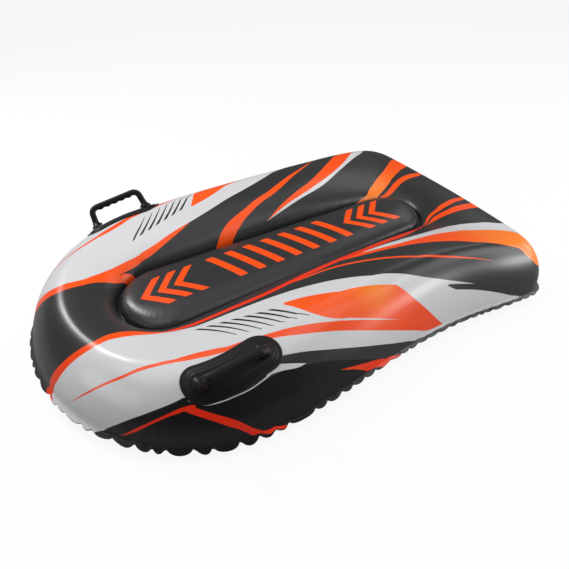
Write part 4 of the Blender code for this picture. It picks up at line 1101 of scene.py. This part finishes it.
def makeBase():
    m = baseMesh
    s = evenStations(m["columns"])
    outer = np.concatenate([np.linspace(0, 1, m["flangeRows"])[:-1],
                            1 + np.linspace(0, 1, m["bilgeRows"])[:-1],
                            2 + np.linspace(0, 1, m["flatRows"])])
    inner = np.array([3.0, 2.6, 2.2, 2.0, 1.8, 1.5, 1.25, 1.0, 0.5, 0.0])
    gridS, gridT = grid(s, outer)
    below = ruffled(basePoint(gridS, gridT), gridS, gridT, ruffle["baseDroop"], ruffle["basePeek"])
    underS, underT = grid(s, inner)
    above = ruffled(basePoint(underS, underT), underS, underT, ruffle["baseDroop"], ruffle["basePeek"])
    above[..., 2] += hullShape["baseGauge"]
    rows = len(outer) + len(inner)
    points = np.concatenate([below, above])
    faces = gridFaces(rows, len(s), closeRows=True, openAfter=len(outer) - 1)[:, ::-1]
    base = makePiece("hull_base", points, faces, plain["baseVinyl"], join=2e-5)
    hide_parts("base_sheet")


# Grip pads and grips on the front shoulders

gripPlace = {"u": 0.955, "t": 1.70, "turn": 8.0, "reach": 0.55, "alongSteps": 400,
             "section": (1.02, 2.9, 160)}
gripPad = {
    "length": 0.208, "width": 0.079, "roundSteps": 34, "straightSteps": 30,
    "rings": ((0.0, 0.0003), (0.0, 0.0013), (0.0002, 0.0019), (0.0007, 0.0024), (0.0014, 0.0026),
              (0.0026, 0.0026), (0.0032, 0.0023), (0.0040, 0.0022), (0.0070, 0.0022), (0.0084, 0.0023),
              (0.0092, 0.0027), (0.0097, 0.0034), (0.0103, 0.0039), (0.0112, 0.0041), (0.0145, 0.0041),
              (0.0156, 0.0042), (0.0163, 0.0046), (0.0168, 0.0052), (0.0176, 0.0055), (0.0190, 0.0055),
              (0.0215, 0.0053), (0.0250, 0.0051), (0.0300, 0.0050), (0.0350, 0.0050), (0.0395, 0.0050)),
    "under": (0.0330, 0.0240, 0.0150, 0.0070),
}


def gripMap(along, across, height):
    # lengths along and across the sheet from the grip's middle become a point at that height over it:
    # s by the arc length along the line of constant t, then t by the arc length up the section
    along, across, height = np.broadcast_arrays(along, across, height)
    shape = along.shape
    angle = math.radians(gripPlace["turn"])
    run = (along * math.cos(angle) - across * math.sin(angle)).ravel()
    climb = (along * math.sin(angle) + across * math.cos(angle)).ravel()
    reach = gripPlace["reach"]
    sLine = np.linspace(gripPlace["u"] - reach, gripPlace["u"] + reach, gripPlace["alongSteps"])
    length = runLength(hullPoint(sLine, gripPlace["t"]))
    length = length - np.interp(gripPlace["u"], sLine, length)
    s = np.interp(run, length, sLine)
    tLine = np.linspace(*gripPlace["section"])
    strips = hullPoint(s[:, None], tLine[None, :])
    steps = np.linalg.norm(np.diff(strips, axis=1), axis=2)
    up = np.concatenate([np.zeros((len(s), 1)), np.cumsum(steps, axis=1)], axis=1)
    rows = np.arange(len(s))
    pitch = tLine[1] - tLine[0]
    at = (gripPlace["t"] - tLine[0]) / pitch
    k = int(at)
    target = climb + up[:, k] + (up[:, k + 1] - up[:, k]) * (at - k)
    k = np.clip((up < target[:, None]).sum(1) - 1, 0, len(tLine) - 2)
    t = tLine[k] + pitch * (target - up[rows, k]) / (up[rows, k + 1] - up[rows, k])
    points = hullPoint(s, t) + hullNormal(s, t, 1e-3) * height.ravel()[:, None]
    return points.reshape(*shape, 3)


def gripFrame():
    middle = gripMap(0.0, 0.0, 0.0).reshape(3)
    normal = unit(gripMap(0.0, 0.0, 0.001).reshape(3) - middle)
    ends = gripMap(np.array([-0.07, 0.07]), 0.0, 0.0)
    along = ends[1] - ends[0]
    along = unit(along - normal * (along @ normal))
    return middle, along, np.cross(normal, along), normal


def pillOutline(inset):
    # two half circles joined by straight sides, for each inset
    p = gripPad
    radius = p["width"] / 2 - inset
    half = (p["length"] - p["width"]) / 2
    rear = np.linspace(-np.pi / 2, np.pi / 2, p["roundSteps"] + 1)
    side = np.linspace(half, -half, p["straightSteps"] + 1)[1:-1]
    x = np.concatenate([half + radius * np.cos(rear), side, -half + radius * np.cos(rear + np.pi),
                        side[::-1]])
    y = np.concatenate([radius * np.sin(rear), np.full(len(side), radius), radius * np.sin(rear + np.pi),
                        np.full(len(side), -radius)])
    return x, y


def makeGripPad(side, name):
    p = gripPad
    rings = list(p["rings"]) + [(inset, 0.0003) for inset in (p["width"] / 2, *p["under"])]
    outlines = [pillOutline(inset) for inset, _ in rings]
    x = np.array([outline[0] for outline in outlines])
    y = np.array([outline[1] for outline in outlines])
    height = np.array([ring[1] for ring in rings])[:, None]
    points = gripMap(x, y, height) * (side, 1, 1)
    faces = gridFaces(len(rings), x.shape[1], closeRows=True, openAfter=len(p["rings"]) - 1)
    pad = makePiece(name, points, faces, plain["mouldedBlack"], join=1e-5, smoothAngle=50)
    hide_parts("grip_pad_left" if side > 0 else "grip_pad_right")


gripShape = {
    "rootSpacing": 0.140, "topSpacing": 0.130, "height": 0.056, "thick": 0.015, "broad": 0.019,
    "corner": 0.016, "ridgePitch": 0.0195, "ridgeDepth": 0.0024, "ridgeReach": 0.049, "fullness": 2.9,
    "bossRadius": 0.0145, "bossHeight": 0.0050, "bossShare": 0.6, "bossRound": 0.0018, "rootHeight": 0.00175,
    "fillet": 0.014, "filletSize": 0.72, "foot": 0.0058, "seatFade": 0.008, "underStart": 0.05,
    "underOver": 0.5,
    "barSteps": 60, "cornerSteps": 16, "postSteps": 34, "around": 30,
}


def makeGrip(side, name):
    # a section carried along a hoop: superellipse on the bar, turning into a round boss at each root
    g = gripShape
    middle, along, across, normal = gripFrame()
    top = g["height"] - g["thick"] / 2
    lean = math.atan2((g["rootSpacing"] - g["topSpacing"]) / 2, top)
    turn = math.pi / 2 - lean
    cornerX = g["topSpacing"] / 2 - g["corner"]
    bar = np.linspace(0, cornerX, g["barSteps"])[:-1]
    arc = np.linspace(0, turn, g["cornerSteps"])
    arcX, arcZ = cornerX + g["corner"] * np.sin(arc), top - g["corner"] * (1 - np.cos(arc))
    postLength = (arcZ[-1] - g["rootHeight"]) / math.sin(turn)
    post = postLength * np.linspace(0, 1, g["postSteps"])[1:]
    halfX = np.concatenate([bar, arcX, arcX[-1] + post * math.cos(turn)])
    halfZ = np.concatenate([np.full(len(bar), top), arcZ, arcZ[-1] - post * math.sin(turn)])
    heading = np.concatenate([np.zeros(len(bar)), arc, np.full(len(post), turn)])
    x = np.concatenate([-halfX[:0:-1], halfX])
    z = np.concatenate([halfZ[:0:-1], halfZ])
    heading = np.concatenate([heading[:0:-1], -heading])
    around = np.linspace(0, 2 * np.pi, g["around"], endpoint=False)
    out = np.sign(np.sin(around)) * np.abs(np.sin(around)) ** (2 / g["fullness"])
    flank = np.sign(np.cos(around)) * np.abs(np.cos(around)) ** (2 / g["fullness"])
    onBar = (np.abs(x) < g["ridgeReach"]) & (np.abs(heading) < 1e-9)
    ridge = np.where(onBar, 0.5 + 0.5 * np.cos(2 * np.pi * x / g["ridgePitch"]), 0.0)
    under = ease((-np.sin(around) - g["underStart"]) / g["underOver"])
    above = z - g["rootHeight"]
    # radius against height over the root: boss, its rounded shoulder, then a hollow fillet
    flare = np.clip((above - g["bossHeight"]) / g["fillet"], 0, 1)
    straight = g["bossHeight"] * g["bossShare"]
    shoulder = np.clip((above - straight) / (g["bossHeight"] - straight), 0, 1)
    boss = g["bossRadius"] - g["bossRound"] * (1 - np.sqrt(np.maximum(1 - shoulder ** 2, 0)))
    blend = np.where(above <= g["bossHeight"], 1.0, (1 - flare) ** 3 * g["filletSize"])
    blend = np.where(np.abs(heading) > 0.9 * turn, blend, 0.0)[:, None]
    halfThick = g["thick"] / 2 + ridge[:, None] * under[None, :] * g["ridgeDepth"]
    sectionOut = (1 - blend) * out * halfThick + blend * np.sin(around) * boss[:, None]
    sectionFlank = (1 - blend) * flank * g["broad"] / 2 + blend * np.cos(around) * boss[:, None]
    placeX = x[:, None] - np.sin(heading)[:, None] * sectionOut
    placeZ = z[:, None] + np.cos(heading)[:, None] * sectionOut
    points = middle + placeX[..., None] * along + sectionFlank[..., None] * across
    points = points + placeZ[..., None] * normal
    seated = gripMap(placeX, sectionFlank, np.maximum(g["foot"], g["foot"] + above[:, None]))
    share = (1 - ease((above - g["bossHeight"]) / g["seatFade"]))[:, None, None]
    points = points * (1 - share) + seated * share
    ends = [points[:1].mean(axis=1, keepdims=True), points[-1:].mean(axis=1, keepdims=True)]
    points = np.concatenate([np.repeat(ends[0], g["around"], 1), points, np.repeat(ends[1], g["around"], 1)])
    points = points * (side, 1, 1)
    faces = gridFaces(len(points), g["around"])
    grip = makePiece(name, points, faces, plain["mouldedBlack"], join=1e-5, smoothAngle=50)
    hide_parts("grip_left" if side > 0 else "grip_right")


makeRing()
makePad()
makeBase()
for side, word in ((1, "left"), (-1, "right")):
    makeGripPad(side, f"grip_patch_{word}")
    makeGrip(side, f"grip_hoop_{word}")

nodeFinishes = {
    "tension_web": "webVinyl", "valve_seat": "seatVinyl", "valve_seal": "sealRubber",
    "valve_body": "valveBlack", "stopper_cap": "valveBlack", "check_flap": "flapSilicone",
}
for node, finish in nodeFinishes.items():
    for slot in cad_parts[node].material_slots:
        slot.material = plain[finish]
print("valve and web finished")


# Floor, light and camera

stageLook = {
    "floorSeen": screen(250, 250, 250), "floorUnseen": screen(158, 158, 158), "floorGlow": 0.90,
    "floorInGloss": 0.06, "worldStrength": 0.16, "floorHalf": 14, "floorDrop": 0.0005,
}
studioLamps = {
    "top": {"place": (-0.30, 0.20, 2.3), "aim": (0.0, 0.05, 0.1), "size": (2.2, 2.0), "power": 10},
    "topFront": {"place": (0.0, -1.2, 2.2), "aim": (0.0, 0.0, 0.1), "size": (1.2, 1.2), "power": 8},
    "topRight": {"place": (1.2, 0.6, 2.2), "aim": (0.0, 0.1, 0.1), "size": (1.2, 1.2), "power": 7},
    "front": {"place": (0.2, -2.8, 1.2), "aim": (0.0, -0.3, 0.1), "size": (1.8, 1.2), "power": 13},
    "streak": {"place": (-1.39, -0.86, 1.50), "aim": (0.05, -0.48, 0.14), "size": (0.18, 1.15), "power": 24},
    "shoulder": {"place": (1.34, 2.08, 1.23), "aim": (0.33, 0.46, 0.13), "size": (1.0, 1.3), "power": 18},
    "corner": {"place": (1.9, 2.2, 0.5), "aim": (0.33, 0.46, 0.13), "size": (0.9, 0.45), "power": 23},
    "tail": {"place": (0.6, 2.9, 0.55), "aim": (0.2, 0.4, 0.1), "size": (1.2, 0.5), "power": 8},
    "rearHigh": {"place": (-0.6, 2.0, 1.9), "aim": (0.0, 0.1, 0.1), "size": (1.4, 1.0), "power": 7},
}


def makeFloor():
    mesh = bpy.data.meshes.new("floor")
    half = stageLook["floorHalf"]
    corners = [(-half, -half, 0), (half, -half, 0), (half, half, 0), (-half, half, 0)]
    mesh.from_pydata(corners, [], [(0, 1, 2, 3)])
    floor = bpy.data.objects.new("floor", mesh)
    bpy.context.scene.collection.objects.link(floor)
    floor.location.z = -stageLook["floorDrop"]
    made = bpy.data.materials.new("studioFloor")
    made.use_nodes = True
    tree = made.node_tree
    tree.nodes.clear()
    diffuse = addNode(tree, "ShaderNodeBsdfDiffuse")
    glow = fill(addNode(tree, "ShaderNodeEmission"), Color=(1, 1, 1, 1), Strength=1.0)
    seen = addNode(tree, "ShaderNodeLightPath").outputs
    tint = mixColour(tree, seen["Is Camera Ray"], stageLook["floorUnseen"], stageLook["floorSeen"])
    tree.links.new(tint, diffuse.inputs["Color"])
    share = mathNode(tree, "MAXIMUM", seen["Is Camera Ray"], seen["Is Transmission Ray"])
    inGloss = mathNode(tree, "MULTIPLY", seen["Is Glossy Ray"], stageLook["floorInGloss"])
    share = mathNode(tree, "MAXIMUM", share, inGloss)
    share = mathNode(tree, "MULTIPLY", share, stageLook["floorGlow"])
    mix = addNode(tree, "ShaderNodeMixShader")
    tree.links.new(share, mix.inputs[0])
    tree.links.new(diffuse.outputs[0], mix.inputs[1])
    tree.links.new(glow.outputs[0], mix.inputs[2])
    tree.links.new(mix.outputs[0], addNode(tree, "ShaderNodeOutputMaterial").inputs["Surface"])
    mesh.materials.append(made)


def makeWorld():
    world = bpy.data.worlds.new("studio")
    bpy.context.scene.world = world
    world.use_nodes = True
    tree = world.node_tree
    background = tree.nodes["Background"]
    background.inputs["Color"].default_value = (1, 1, 1, 1)
    seen = addNode(tree, "ShaderNodeLightPath").outputs
    shown = mathNode(tree, "MAXIMUM", seen["Is Camera Ray"], seen["Is Transmission Ray"])
    strength = mapRange(tree, shown, 0.0, 1.0, stageLook["worldStrength"], 1.0)
    tree.links.new(strength, background.inputs["Strength"])


def makeLamp(name, look):
    data = bpy.data.lights.new(name, "AREA")
    data.shape = "RECTANGLE"
    data.size, data.size_y = look["size"]
    data.energy = look["power"]
    lamp = bpy.data.objects.new(name, data)
    bpy.context.scene.collection.objects.link(lamp)
    back = unit(np.array(look["place"], float) - np.array(look["aim"], float))
    right = unit(np.cross([0.0, 0.0, 1.0], back) + np.array([1e-6, 0, 0]))
    turn = np.stack([right, np.cross(back, right), back], axis=1)
    lamp.location = look["place"]
    lamp.rotation_euler = Matrix(turn.tolist()).to_euler()


photoView = {"place": (1.0273, -0.5847, 0.9263), "tilt": 52.66, "turn": 59.20, "lens": 36.67,
             "sensor": 36.0, "reach": 60}


def makeCamera():
    data = bpy.data.cameras.new("photoView")
    data.lens, data.sensor_width = photoView["lens"], photoView["sensor"]
    data.clip_end = photoView["reach"]
    camera = bpy.data.objects.new("photoView", data)
    bpy.context.scene.collection.objects.link(camera)
    camera.location = photoView["place"]
    camera.rotation_euler = (math.radians(photoView["tilt"]), 0.0, math.radians(photoView["turn"]))
    bpy.context.scene.camera = camera


makeFloor()
makeWorld()
for lampName, lampLook in studioLamps.items():
    makeLamp(lampName, lampLook)
makeCamera()
bpy.context.scene.view_settings.view_transform = "Standard"
print("stage ready")
